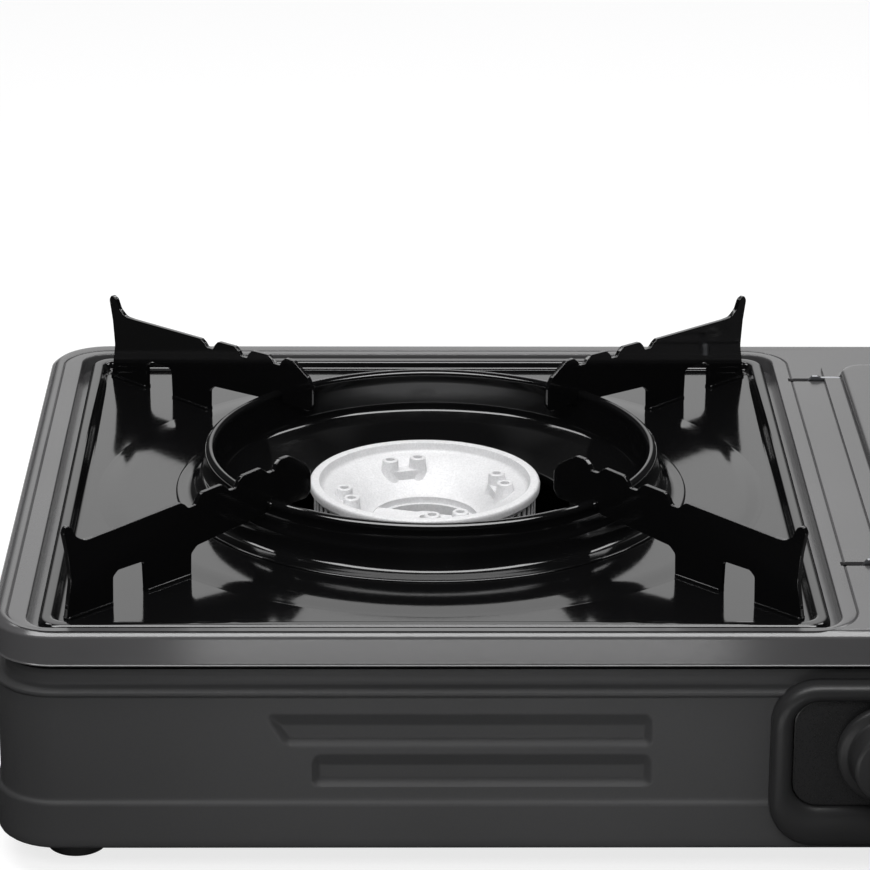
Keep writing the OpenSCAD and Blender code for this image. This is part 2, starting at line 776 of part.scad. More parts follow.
module regulator_cap() {
  color(cast_silver) difference() {
    union() {
      translate([reg_x, cap_y - 1, bay_z]) rod_y(flange_r, 2);
      translate([reg_x, cap_y - cap_deep - 1, bay_z]) rod_y(11, cap_deep + 1);
    }
    translate([reg_x, cap_y - cap_deep, bay_z]) rod_y(9.5, cap_deep + 2);
    translate([reg_x, cap_y, bay_z]) rod_y(reg_r - 1, 2);
    for (i = [0 : 3]) translate([reg_x, cap_y - 3, bay_z]) rotate([0, 45 + 90 * i, 0])
      translate([cap_screw_r, 0, 0]) rod_y(1, 6);
  }
}

module cap_screws() {
  color(zinc) for (i = [0 : 3]) translate([reg_x, cap_y - 1, bay_z]) rotate([0, 45 + 90 * i, 0])
    translate([cap_screw_r, 0, 0]) {
      rod_y(1, 4);
      translate([0, -1.2, 0]) rod_y(1.8, 1.2);
    }
}

socket_y = reg_y1;
socket_r = 9;
socket_bore = 6;

module inlet_socket() {
  color(brass) translate([reg_x, socket_y, bay_z]) difference() {
    union() {
      rod_y(socket_r, 7);
      translate([0, -6, 0]) rod_y(5, 6 + eps);
    }
    translate([0, 1, 0]) rod_y(socket_bore, 8);
    translate([0, -8, 0]) rod_y(1.2, 12);
  }
}

module inlet_seal() {
  color("#1b1b1b") translate([reg_x, socket_y + 1, bay_z]) difference() {
    rod_y(socket_bore, 1.6);
    translate([0, -1, 0]) rod_y(2.2, 4);
  }
}

lever_plate_x = 153.2;
module regulator_bracket() {
  color(zinc) difference() {
    union() {
      translate([90, bracket_y, floor_z]) cube([lever_plate_x + bracket_t - 90, bracket_t, 54]);
      translate([90, bracket_y, floor_z]) cube([lever_plate_x + bracket_t - 90, 8, bracket_t]);
      translate([lever_plate_x, bracket_y, floor_z]) cube([bracket_t, 36, pivot_z + 6 - floor_z]);
    }
    translate([knob_x, bracket_y - 1, knob_z]) rod_y(spindle_r + 1, 4);
    translate([reg_x, bracket_y - 1, bay_z]) rod_y(12.5, 4);
    translate([lever_x - 1.2, bracket_y - 1, floor_z + 4]) cube([lever_t + 2.4, 4, 60]);
    translate([lever_plate_x - 1, pivot_y, pivot_z]) rod_x(2, 4);
  }
}

igniter_y = -120.3;
module piezo_igniter() {
  color("#26272b") difference() {
    union() {
      translate([88.5, igniter_y, 30]) cube([24, bracket_y - igniter_y, 26]);
      translate([92, (igniter_y + bracket_y) / 2, 55]) cylinder(r = 2.2, h = 5);
    }
    translate([knob_x, igniter_y - 1, knob_z]) rod_y(spindle_r + 1, 12);
  }
}

lead_gate_y = -100;
lead_gate_z = 62;
lead_r = 1.2;
lead_route = [[92, -115.65, 60], [92, -115.65, 63], [91, -114, 65], [89.5, -108, 65], [89, -103, 63],
  [87.5, -100, 62], [84, -98, 61.5], [70, -95, 60], [50, -90, 57], [30, -80, 51], [10, -70, 43],
  [-10, -60, 36], [-22, -51, 33], [-29, -44, 33], [-32.2, -38.5, 36], [-32.7, -36.36, 40],
  [-32.7, -36.36, 46]];

// Smooth curve through the points of a route
function spline(a, b, c, d, t) =
  ((2 * b) + (c - a) * t + (2 * a - 5 * b + 4 * c - d) * t * t + (3 * b - a - 3 * c + d) * t * t * t) / 2;
function smooth(p, steps) = concat(
  [for (i = [0 : len(p) - 2], j = [0 : steps - 1])
    spline(p[max(i - 1, 0)], p[i], p[i + 1], p[min(i + 2, len(p) - 1)], j / steps)],
  [p[len(p) - 1]]);

module ignition_lead() {
  color("#8c2a22") sweep_tube(smooth(lead_route, 4), lead_r, 8);
}

// ---------- cartridge bay ----------

rest_x = 19;
rest_h = bay_z - sqrt(pow(cartridge_dia / 2, 2) - pow(rest_x - 0.8, 2)) - floor_z;

module cartridge_cradle() {
  color(zinc) translate([bay_x, 0, 0]) {
    translate([-27, -56, floor_z]) cube([54, 168, sheet]);
    for (s = [-1, 1]) translate([s * rest_x, 112, floor_z]) rotate([90, 0, 0])
      linear_extrude(168) polygon([[-5, 0], [-0.8, rest_h], [0.8, rest_h], [5, 0]]);
  }
}

strip_x = right_x - panel_in - sheet - 2.3;
strip_t = 1.2;
strip_z0 = drive_z - 4;
strip_z1 = drive_z + 4;
pusher_y = socket_y + 10 + cartridge_len;
guide_places = [-40, 90];

module cartridge_pusher() {
  color(zinc) difference() {
    union() {
      translate([strip_x, drive_y - 6, strip_z0]) cube([strip_t, pusher_y - drive_y + 6 + strip_t, 8]);
      translate([bay_x - 17, pusher_y, 30]) cube([strip_x - bay_x + 17 + strip_t, strip_t, strip_z1 - 30]);
    }
    translate([strip_x - 1, drive_y - 1.8, drive_z - 2]) cube([4, 3.6, 4.4]);
  }
}

module pusher_guides() {
  wall_x = right_x - panel_in - sheet;
  gap = 0.2;
  lip = 0.7;
  back_x = strip_x - gap - lip;
  color(zinc) for (y = guide_places) translate([back_x, y, strip_z0 - gap - lip]) {
    cube([lip, 10, strip_z1 - strip_z0 + 2 * (gap + lip)]);
    for (z = [0, strip_z1 - strip_z0 + 2 * gap + lip]) translate([0, 0, z]) cube([wall_x - back_x, 10, lip]);
  }
}

// ---------- lid ----------

module hinge_brackets() {
  color(zinc) for (y = ear_places, s = [-1, 1]) translate([0, y + s * 5 - 1.5, 0]) difference() {
    translate([hinge_x - 3.2, 0, hinge_z - 3]) cube([6.4, 3, cover_under - hinge_z + 3]);
    translate([hinge_x, -1, hinge_z]) rod_y(hinge_r, 5);
  }
}

module hinge_rod() {
  color(zinc) translate([hinge_x, ear_places[0] - 9, hinge_z])
    rod_y(hinge_r, ear_places[1] - ear_places[0] + 18);
}

module lid_ears() {
  color(zinc) for (y = ear_places) translate([0, y + ear_t / 2, 0]) rotate([90, 0, 0])
    linear_extrude(ear_t) difference() {
      union() {
        translate([hinge_x, hinge_z]) circle(3.2);
        polygon([[hinge_x - 1.5, hinge_z + 2.8], [hinge_x + 3, hinge_z - 1], [hinge_x + 7, cover_z - 1],
          [lid_x0 + 17, cover_z], [lid_x0 + 17, cover_z + crown_h - sheet],
          [crown_x0 + 3, cover_z + crown_h - sheet], [crown_x0 + sheet, cover_z + sheet],
          [lid_x0 - 1, cover_z + sheet], [lid_x0 - 2.2, cover_z + sheet + 0.5],
          [hinge_x + 1.4, cover_z + sheet + 0.5]]);
      }
      translate([hinge_x, hinge_z]) circle(hinge_r + running_fit);
    }
}

crown_h = 3.5;
crown_x0 = lid_x0 + 6;
crown_x1 = right_x - 8;

module crown(grow, h) {
  w = crown_x1 - crown_x0 + 2 * grow;
  d = lid_y1 - lid_y0 - 14 + 2 * grow;
  translate([(crown_x0 + crown_x1) / 2, (lid_y0 + lid_y1) / 2, cover_z])
    soft_box(w, d, h, 8 + grow, 2.4 + grow);
}

module lid() {
  mid_y = (lid_y0 + lid_y1) / 2;
  flat_w = right_x - cover_edge - lid_x0;
  top = cover_z + sheet;
  edge = cover_edge;
  color(satin_grey) difference() {
    union() {
      translate([lid_x0 + flat_w / 2, mid_y, cover_z]) linear_extrude(sheet)
        union() {
          round_rect(flat_w, lid_y1 - lid_y0, 6);
          translate([flat_w / 4, 0]) square([flat_w / 2, lid_y1 - lid_y0 - 6.6], center = true);
        }
      crown(0, crown_h);
      // rounded right edge and skirt
      translate([right_x - edge, lid_y0 + 3.3, top - edge]) difference() {
        rod_y(edge, lid_y1 - lid_y0 - 6.6);
        translate([0, -1, 0]) rod_y(edge - sheet, lid_y1 - lid_y0);
        translate([-2 * edge, -1, -edge]) cube([2 * edge, 300, 2 * edge]);
        translate([-edge, -1, -2 * edge]) cube([3 * edge, 300, 2 * edge]);
      }
      translate([right_x - sheet, lid_y0 + 3.3, skirt_z]) cube([sheet, lid_y1 - lid_y0 - 6.6, top - edge - skirt_z]);
    }
    crown(-sheet, crown_h - sheet);
    translate([0, 0, -2]) crown(-sheet, 3);
    for (y = ear_places)
      translate([lid_x0 - 1, y - ear_t / 2, cover_z - 1]) cube([crown_x0 + sheet - lid_x0 + 1, ear_t, sheet + 1]);
  }
}

module lid_catch() {
  color(plastic_black) translate([right_x - sheet - 2.2, 8, skirt_z + 2]) cube([2.2, 14, 5]);
}

// ---------- knob and lever ----------

knob_front = front_y - knob_reach;
module knob() {
  color(plastic_black) translate([knob_x, 0, knob_z]) difference() {
    union() {
      translate([0, knob_front + 12, 0]) rod_y(knob_r, 4);
      translate([0, knob_front + 2, 0]) rod_y(knob_r - 3, 11);
      translate([-4.5, knob_front, -knob_r + 3.4]) cube([9, 13, 2 * knob_r - 6.8]);
    }
    translate([0, knob_front + 6, 0]) rod_y(spindle_r, 12);
  }
}

module knob_spindle() {
  color(zinc) translate([knob_x, 0, knob_z]) {
    translate([0, knob_front + 6, 0]) rod_y(spindle_r, -95 - knob_front - 6);
  }
}

// Lever in its raised position, turned up about the pivot
front_arm = 54;
lever_half = lever_swing / 2;
module lever_frame() {
  translate([lever_x, pivot_y, pivot_z]) rotate([-lever_half, 0, 0]) children();
}

module lock_lever() {
  color(zinc) lever_frame() difference() {
    union() {
      translate([0, -front_arm + 8, -2.4]) cube([lever_t, front_arm - 8, 4.8]);
      translate([0, -4, 0]) cube([lever_t, 8, pin_arm]);
      rod_x(5, lever_t);
      translate([0, 0, pin_arm]) rod_x(4, lever_t);
    }
    translate([-1, 0, 0]) rod_x(2 + running_fit, lever_t + 2);
    translate([-1, 0, pin_arm]) rod_x(1.5, lever_t + 2);
  }
}

module lever_tip() {
  color(plastic_black) lever_frame() difference() {
    translate([-1.4, -front_arm - 2, -3.2]) cube([lever_t + 2.8, 16, 6.4]);
    translate([0, -front_arm + 8, -2.4]) cube([lever_t, 10, 4.8]);
  }
}

module lever_pivot_pin() {
  color(zinc) translate([0, pivot_y, pivot_z]) {
    translate([lever_x - 0.4, 0, 0]) rod_x(2, lever_plate_x + bracket_t - lever_x + 0.4);
    translate([lever_x - 1.6, 0, 0]) rod_x(3.6, 1.2);
  }
}

module lever_drive_pin() {
  color(zinc) lever_frame() translate([0, 0, pin_arm]) rod_x(1.5, strip_x + strip_t + 0.5 - lever_x);
}

// ---------- one line per node ----------

lower_case();
top_cover();
heat_partition();
control_bezel();
bezel_face();
foot(foot_places[0]);  // foot_front_left
foot(foot_places[1]);  // foot_front_right
foot(foot_places[2]);  // foot_back_left
foot(foot_places[3]);  // foot_back_right
foot_screws();
case_screws();
drip_tray();
pan_ring();
pan_support(225);  // pan_support_front_left
pan_support(315);  // pan_support_front_right
pan_support(135);  // pan_support_back_left
pan_support(45);  // pan_support_back_right
burner_head();
burner_bridge();
burner_base();
burner_stand();
stand_screws();
mixing_tube();
tube_saddle();
gas_jet();
electrode_rod();
electrode_ceramic();
electrode_bracket();
ignition_lead();
piezo_igniter();
heat_strip();
valve_body();
regulator_body();
regulator_diaphragm();
regulator_spring();
regulator_cap();
cap_screws();
inlet_socket();
inlet_seal();
regulator_bracket();
cartridge_cradle();
pusher_guides();
hinge_brackets();
hinge_rod();
lid();
lid_ears();
lid_catch();
knob();
knob_spindle();
lock_lever();
lever_tip();
lever_pivot_pin();
lever_drive_pin();
cartridge_pusher();
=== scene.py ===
"""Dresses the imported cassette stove: enamelled tray, ring and pan supports, cast burner, painted case."""
import json
import math

import bmesh
import bpy
from mathutils import Matrix, Vector


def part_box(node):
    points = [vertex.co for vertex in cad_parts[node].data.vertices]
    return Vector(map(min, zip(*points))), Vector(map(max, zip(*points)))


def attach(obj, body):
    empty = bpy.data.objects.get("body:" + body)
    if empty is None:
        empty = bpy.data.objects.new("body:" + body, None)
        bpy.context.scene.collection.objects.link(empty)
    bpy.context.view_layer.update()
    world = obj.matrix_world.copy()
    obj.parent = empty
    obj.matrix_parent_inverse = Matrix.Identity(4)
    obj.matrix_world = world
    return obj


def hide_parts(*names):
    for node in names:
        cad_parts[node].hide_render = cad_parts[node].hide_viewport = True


bl_info = {
    "name": "Cassette Stove",
    "version": (1, 0, 0),
    "blender": (4, 5, 0),
    "location": "View3D > Sidebar > Stove",
    "description": "Builds the visible pieces and finishes of a butane cassette stove",
    "category": "Object",
}

MM = 0.001
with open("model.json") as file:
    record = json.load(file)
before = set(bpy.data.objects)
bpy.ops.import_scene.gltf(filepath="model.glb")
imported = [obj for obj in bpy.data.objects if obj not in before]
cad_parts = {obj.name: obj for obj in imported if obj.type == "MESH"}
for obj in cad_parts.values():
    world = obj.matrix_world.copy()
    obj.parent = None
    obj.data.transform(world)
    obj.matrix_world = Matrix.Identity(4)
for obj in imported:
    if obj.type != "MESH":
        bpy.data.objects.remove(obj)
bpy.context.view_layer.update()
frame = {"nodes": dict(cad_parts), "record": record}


def box_mm(node):
    """Lowest and highest corner of a CAD node, in millimetres."""
    low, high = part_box(node)
    return [c / MM for c in low], [c / MM for c in high]


TRAY_LOW, TRAY_HIGH = box_mm("drip_tray")
COVER_LOW, COVER_HIGH = box_mm("top_cover")
CASE_LOW, CASE_HIGH = box_mm("lower_case")
BEZEL_LOW, BEZEL_HIGH = box_mm("control_bezel")
FACE_LOW, FACE_HIGH = box_mm("bezel_face")
KNOB_LOW, KNOB_HIGH = box_mm("knob")
HEAD_LOW, HEAD_HIGH = box_mm("burner_head")
RING_LOW, RING_HIGH = box_mm("pan_ring")
LID_LOW, LID_HIGH = box_mm("lid")

TRAY_X = (TRAY_LOW[0] + TRAY_HIGH[0]) / 2
TRAY_Y = (TRAY_LOW[1] + TRAY_HIGH[1]) / 2
BURNER_X = (HEAD_LOW[0] + HEAD_HIGH[0]) / 2
BURNER_Y = (HEAD_LOW[1] + HEAD_HIGH[1]) / 2
RIM_Z = TRAY_HIGH[2]
BODY_Y = (COVER_LOW[1] + COVER_HIGH[1]) / 2
BODY_CORNER = 20
WALL_HALF = (COVER_HIGH[0] - COVER_LOW[0]) / 2 - 4
WALL_BACK = COVER_HIGH[1] - 4
LEFT_SCREWS, RIGHT_SCREW, BACK_SCREWS = (-60, 80), -94, (-120, -20, 70, 140)
SCREW_Z = 65.9
TAB_FOOT, TAB_HALF = 62.2, 7
PLATE_Z = 78.0
# The cartridge bay's opening, and sizes of the tray's opening and of the pressed line round it
BAY_LOW, BAY_HIGH = (102, -86), (180, 116)
OPENING, CREASE_LINE = (244.8, 250.4), (256.6, 255.4)
EAR_PLACES = (-68, 103.7)
FOOT_PLACES = [(x, y) for x in (-148, 148) for y in (-100, 118)]
TRAY_GAUGE = 0.8

# Long grooves of the front wall: left, right, lowest, highest, slant of the left end
GROOVES = ((-89.4, 27.6, 43.0, 53.6, 0.62), (-75.0, 27.6, 29.8, 40.4, 0.0))
GROOVE_DEEP, GROOVE_TOP_SLOPE, GROOVE_LOW_SLOPE, GROOVE_END_SLOPE = 2.4, 4.4, 2.0, 2.4


# ---------------------------------------------------------------- mesh helpers

def link_object(name, mesh):
    """A new object for a mesh, in the scene's collection."""
    piece = bpy.data.objects.new(name, mesh)
    bpy.context.scene.collection.objects.link(piece)
    return piece


def edited(mesh, *steps):
    """Works steps on a mesh; each is a function of the bmesh that holds it."""
    bm = bmesh.new()
    bm.from_mesh(mesh)
    for step in steps:
        step(bm)
    bm.to_mesh(mesh)
    bm.free()
    mesh.update()
    return mesh


def merge_doubles(bm):
    """Joins points that lie in one place."""
    bmesh.ops.remove_doubles(bm, verts=bm.verts, dist=1e-6)


def face_outwards(bm):
    """Turns every face outwards."""
    bmesh.ops.recalc_face_normals(bm, faces=bm.faces)


def new_mesh(name, points, faces):
    """A closed mesh from points in millimetres, with its faces turned outwards."""
    mesh = bpy.data.meshes.new(name)
    mesh.from_pydata([[c * MM for c in p] for p in points], [], faces)
    return edited(mesh, face_outwards)


def finish_piece(piece, body, slot, *nodes, angle=40, weighted=True):
    mesh = piece.data
    mesh.polygons.foreach_set("use_smooth", [True] * len(mesh.polygons))
    mesh.polygons.foreach_set("material_index", [0] * len(mesh.polygons))
    mesh.set_sharp_from_angle(angle=math.radians(angle))
    mesh.materials.clear()
    mesh.materials.append(finish(slot))
    if weighted:
        piece.modifiers.new("even_shading", "WEIGHTED_NORMAL").keep_sharp = True
    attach(piece, body)
    if nodes:
        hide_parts(*nodes)


def frame_loop(cx, cy, w, d, r, z, straight, bend, front=None):
    """Points round a rectangle with round corners, anticlockwise from the right side's lower end.

    straight and bend are the numbers of points on a side and a corner; front holds the places along X of the
    front side's points, when they aren't evenly spaced.
    """
    r = max(r, 0.05)
    points = []
    for turn in range(4):
        angle = turn * math.pi / 2
        half_w, half_d = (w / 2, d / 2) if turn % 2 == 0 else (d / 2, w / 2)
        ca, sa = math.cos(angle), math.sin(angle)
        if front and turn == 3:
            local = [(half_w, x - cx) for x in front]
        else:
            local = [(half_w, -half_d + r + (2 * half_d - 2 * r) * i / straight) for i in range(straight)]
        local += [
            (half_w - r + r * math.cos(math.pi / 2 * i / bend), half_d - r + r * math.sin(math.pi / 2 * i / bend))
            for i in range(bend)]
        points += [(cx + x * ca - y * sa, cy + x * sa + y * ca, z) for x, y in local]
    return points


def upright_loop(x0, x1, z0, z1, r, y, straight, bend):
    """A rectangle with round corners that stands in the XZ plane."""
    loop = frame_loop((x0 + x1) / 2, (z0 + z1) / 2, x1 - x0, z1 - z0, r, 0, straight, bend)
    return [(x, y, z) for x, z, _ in loop]


def circle_like(loop, cx, cy, radius, z):
    """A circle whose points lie on the same bearings as a loop's."""
    bearings = [math.atan2(p[1] - cy, p[0] - cx) for p in loop]
    return [(cx + radius * math.cos(a), cy + radius * math.sin(a), z) for a in bearings]


def loft(name, loops, capped=False):
    """Skin over loops of equal length; it ends in caps, or else runs on from the last loop to the first."""
    count = len(loops[0])
    points = [p for loop in loops for p in loop]
    faces = []
    for k in range(len(loops) - capped):
        a, b = k * count, (k + 1) % len(loops) * count
        faces += [(a + i, a + (i + 1) % count, b + (i + 1) % count, b + i) for i in range(count)]
    if capped:
        faces += [tuple(range(count)), tuple(range(len(points) - count, len(points)))]
    return new_mesh(name, points, faces)


def fillet(outline, steps):
    """Rounds an outline's corners: each point is (x, y) or (x, y, radius)."""
    result = []
    count = len(outline)
    for i, corner in enumerate(outline):
        here = Vector(corner[:2])
        radius = corner[2] if len(corner) > 2 else 0.0
        before = Vector(outline[i - 1][:2]) - here
        after = Vector(outline[(i + 1) % count][:2]) - here
        opening = before.angle(after)
        if radius <= 0 or opening > math.radians(178):
            result.append(here[:])
            continue
        reach = min(radius / math.tan(opening / 2), before.length * 0.48, after.length * 0.48)
        start, end = here + before.normalized() * reach, here + after.normalized() * reach
        for k in range(steps + 1):
            t = k / steps
            result.append(((1 - t) ** 2 * start + 2 * t * (1 - t) * here + t * t * end)[:])
    return result


def plate_mesh(name, outline, thickness, bevel):
    """A flat plate in the XZ plane, centred on y = 0, with softened edges."""
    def soften(bm):
        rims = [e for e in bm.edges if len(e.link_faces) == 2 and max(len(f.verts) for f in e.link_faces) > 4]
        bmesh.ops.bevel(bm, geom=rims, offset=bevel * MM, segments=3, profile=0.5, affect="EDGES",
                        clamp_overlap=True)

    sides = [[(x, y, z) for x, z in outline] for y in (-thickness / 2, thickness / 2)]
    return edited(loft(name, sides, capped=True), soften)


def block_mesh(name, low, high, bevel=0.0, segments=2):
    """A block between two corners, with softened edges."""
    def shape(bm):
        bmesh.ops.create_cube(bm, size=1.0)
        for v in bm.verts:
            v.co = Vector([(low[i] + high[i]) / 2 + v.co[i] * (high[i] - low[i]) for i in range(3)]) * MM
        if bevel:
            bmesh.ops.bevel(bm, geom=bm.edges[:], offset=bevel * MM, segments=segments, profile=0.5,
                            affect="EDGES")

    return edited(bpy.data.meshes.new(name), shape)


def joined(name, meshes):
    """One mesh out of several, which are used up."""
    def gather(bm):
        for mesh in meshes:
            bm.from_mesh(mesh)

    whole = edited(bpy.data.meshes.new(name), gather)
    for mesh in meshes:
        bpy.data.meshes.remove(mesh)
    return whole


def taken(piece):
    """The mesh of a piece whose object is given up."""
    mesh = piece.data
    bpy.data.objects.remove(piece)
    return mesh


def moved(mesh, place, turn=0, axis="Z"):
    """The same mesh turned by degrees about an axis, then moved by millimetres."""
    mesh.transform(Matrix.Translation([c * MM for c in place]) @ Matrix.Rotation(math.radians(turn), 4, axis))
    return mesh


def baked(piece):
    """Takes a piece's modifiers into its mesh, which must not come out empty."""
    bpy.context.view_layer.update()
    result = bpy.data.meshes.new_from_object(piece.evaluated_get(bpy.context.evaluated_depsgraph_get()))
    if not result.polygons:
        raise RuntimeError("nothing is left of " + piece.name)
    piece.modifiers.clear()
    piece.data = result


def cut(piece, blocks):
    """Takes blocks away from a piece and leaves a plain mesh."""
    cutter = link_object("cutter", joined("cutter", blocks))
    trim = piece.modifiers.new("cut", "BOOLEAN")
    trim.object = cutter
    trim.solver = "EXACT"
    trim.operation = "DIFFERENCE"
    trim.use_self = True
    baked(piece)
    bpy.data.objects.remove(cutter)


# ---------------------------------------------------------------- node trees

def worked(tree, operation, *values):
    """A sum on sockets or plain numbers."""
    node = tree.nodes.new("ShaderNodeMath")
    node.operation = operation
    for value, socket in zip(values, node.inputs):
        if hasattr(value, "is_linked"):
            tree.links.new(value, socket)
        else:
            socket.default_value = value
    return node.outputs[0]


def wire(tree, *runs):
    """Links nodes; a run holds a node, its output's name, the next node and its input's name."""
    for source, out, target, into in runs:
        tree.links.new(source.outputs[out], target.inputs[into])


def new_tree(name, *inputs):
    """An empty geometry tree with named inputs, each (label, kind), and its two ends."""
    tree = bpy.data.node_groups.new(name, "GeometryNodeTree")
    ends = [("Geometry", "Geometry", "OUTPUT"), ("Geometry", "Geometry", "INPUT")]
    for label, kind, way in ends + [(label, kind, "INPUT") for label, kind in inputs + (("Material", "Material"),)]:
        tree.interface.new_socket(label, in_out=way, socket_type="NodeSocket" + kind)
    return tree, tree.nodes.new("NodeGroupInput"), tree.nodes.new("NodeGroupOutput")


def close_tree(tree, start, end, last, out):
    """Realises what a tree made, sets its material and hands it out."""
    realize = tree.nodes.new("GeometryNodeRealizeInstances")
    paint = tree.nodes.new("GeometryNodeSetMaterial")
    wire(tree, (last, out, realize, "Geometry"), (realize, "Geometry", paint, "Geometry"),
         (start, "Material", paint, "Material"), (paint, "Geometry", end, "Geometry"))
    return tree


def turned_tree():
    """A flat outline, spun round the Z axis."""
    tree, start, end = new_tree("turned_section", ("Radius", "Float"), ("Steps", "Int"))
    outline = tree.nodes.new("GeometryNodeMeshToCurve")
    path = tree.nodes.new("GeometryNodeCurvePrimitiveCircle")
    skin = tree.nodes.new("GeometryNodeCurveToMesh")
    wire(tree, (start, "Geometry", outline, "Mesh"), (start, "Radius", path, "Radius"),
         (start, "Steps", path, "Resolution"), (path, "Curve", skin, "Curve"),
         (outline, "Curve", skin, "Profile Curve"))
    return close_tree(tree, start, end, skin, "Mesh")


def round_array_tree():
    """Copies of one piece, spaced evenly round the Z axis."""
    tree, start, end = new_tree("round_array", ("Piece", "Object"), ("Count", "Int"), ("First angle", "Float"),
                                ("Centre", "Vector"))
    points = tree.nodes.new("GeometryNodePoints")
    source = tree.nodes.new("GeometryNodeObjectInfo")
    place = tree.nodes.new("GeometryNodeInstanceOnPoints")
    index = tree.nodes.new("GeometryNodeInputIndex")
    turn = tree.nodes.new("ShaderNodeCombineXYZ")
    step = worked(tree, "DIVIDE", 2 * math.pi, start.outputs["Count"])
    angle = worked(tree, "MULTIPLY_ADD", index.outputs["Index"], step, start.outputs["First angle"])
    tree.links.new(angle, turn.inputs["Z"])
    wire(tree, (start, "Count", points, "Count"), (start, "Centre", points, "Position"),
         (start, "Piece", source, "Object"), (points, "Points", place, "Points"),
         (source, "Geometry", place, "Instance"), (turn, "Vector", place, "Rotation"))
    return close_tree(tree, start, end, place, "Instances")


def fastener_tree():
    """Copies of one fastener on points that carry their own turn."""
    tree, start, end = new_tree("fasteners", ("Piece", "Object"), ("Size", "Float"))
    source = tree.nodes.new("GeometryNodeObjectInfo")
    place = tree.nodes.new("GeometryNodeInstanceOnPoints")
    turn = tree.nodes.new("GeometryNodeInputNamedAttribute")
    turn.data_type = "FLOAT_VECTOR"
    turn.inputs["Name"].default_value = "turn"
    wire(tree, (start, "Geometry", place, "Points"), (start, "Piece", source, "Object"),
         (source, "Geometry", place, "Instance"), (start, "Size", place, "Scale"),
         (turn, "Attribute", place, "Rotation"))
    return close_tree(tree, start, end, place, "Instances")


def run_tree(name, mesh, tree, outward=True, **values):
    """Runs a tree on a mesh and returns the plain mesh that comes out, as an object."""
    carrier = link_object(name, mesh)
    level = carrier.modifiers.new(name, "NODES")
    level.node_group = tree
    for socket in tree.interface.items_tree:
        key = socket.name.lower().replace(" ", "_")
        if socket.in_out == "INPUT" and key in values:
            level[socket.identifier] = values[key]
    baked(carrier)
    carrier.data.name = name
    if outward:
        edited(carrier.data, merge_doubles, face_outwards)
    return carrier


def turned(name, section, material, steps, centre=(0, 0)):
    """A piece of revolution from a section of (radius, height) points, through the turned tree."""
    middle = sum(p[0] for p in section) / len(section)
    count = len(section)
    mesh = bpy.data.meshes.new(name)
    mesh.from_pydata([((r - middle) * MM, -z * MM, 0) for r, z in section],
                     [(i, (i + 1) % count) for i in range(count)], [])
    tree = bpy.data.node_groups.get("turned_section") or turned_tree()
    piece = run_tree(name, mesh, tree, radius=middle * MM, steps=steps, material=material)
    moved(piece.data, (*centre, 0))
    return piece


def point_mesh(name, places):
    """Loose points, in millimetres."""
    mesh = bpy.data.meshes.new(name)
    mesh.from_pydata([[c * MM for c in place] for place in places], [], [])
    return mesh


def ring_of(name, piece, count, first, centre, material):
    """Copies of a piece round an axis, as one mesh."""
    tree = bpy.data.node_groups.get("round_array") or round_array_tree()
    whole = run_tree(name, point_mesh(name, [(0, 0, 0)]), tree, outward=False, piece=piece, count=count,
                     first_angle=math.radians(first), centre=[c * MM for c in centre], material=material)
    bpy.data.objects.remove(piece)
    return whole


def fasteners(name, piece, spots, slot, size=1.0):
    """Copies of a piece on spots, each a place and a turn in degrees, as one mesh."""
    tree = bpy.data.node_groups.get("fasteners") or fastener_tree()
    mesh = point_mesh(name, [place for place, _ in spots])
    turn = mesh.attributes.new("turn", "FLOAT_VECTOR", "POINT")
    turn.data.foreach_set("vector", [math.radians(a) for _, angles in spots for a in angles])
    whole = run_tree(name, mesh, tree, outward=False, piece=piece, size=size, material=finish(slot))
    bpy.data.objects.remove(piece)
    return whole


# ---------------------------------------------------------------- finishes

def new_finish(name):
    """A material with its tree and its main shader; an imported one of that name makes way."""
    earlier = bpy.data.materials.get(name)
    if earlier:
        earlier.name = "plain_" + name
    material = bpy.data.materials.new(name)
    material.use_nodes = True
    return material, material.node_tree, material.node_tree.nodes["Principled BSDF"]


def noise(tree, vector, scale, detail, rough=0.5):
    """A noise texture's factor."""
    node = tree.nodes.new("ShaderNodeTexNoise")
    node.inputs["Scale"].default_value = scale
    node.inputs["Detail"].default_value = detail
    node.inputs["Roughness"].default_value = rough
    tree.links.new(vector, node.inputs["Vector"])
    return node.outputs["Fac"]


def ranged(tree, value, low, high, start=0.3, stop=0.7):
    """A value moved from one range to another."""
    node = tree.nodes.new("ShaderNodeMapRange")
    for label, number in (("From Min", start), ("From Max", stop), ("To Min", low), ("To Max", high)):
        node.inputs[label].default_value = number
    tree.links.new(value, node.inputs["Value"])
    return node.outputs["Result"]


def blended(tree, factor, first, second):
    """Two colours mixed by a factor."""
    node = tree.nodes.new("ShaderNodeMix")
    node.data_type = "RGBA"
    for socket, colour in ((node.inputs[6], first), (node.inputs[7], second)):
        if hasattr(colour, "is_linked"):
            tree.links.new(colour, socket)
        else:
            socket.default_value = (*colour, 1.0)
    tree.links.new(factor, node.inputs[0])
    return node.outputs[2]


def bumped(tree, shader, heights):
    """Bumps stacked on a shader: each height is (value, strength, distance in millimetres)."""
    normal = None
    for value, strength, distance in heights:
        node = tree.nodes.new("ShaderNodeBump")
        node.inputs["Strength"].default_value = strength
        node.inputs["Distance"].default_value = distance * MM
        tree.links.new(value, node.inputs["Height"])
        if normal:
            tree.links.new(normal, node.inputs["Normal"])
        normal = node.outputs["Normal"]
    tree.links.new(normal, shader.inputs["Normal"])


def object_coordinates(tree):
    """Object coordinates, in metres."""
    return tree.nodes.new("ShaderNodeTexCoord").outputs["Object"]


def shade(colour, factor):
    """A colour made darker or lighter."""
    return tuple(min(1.0, c * factor) for c in colour[:3])


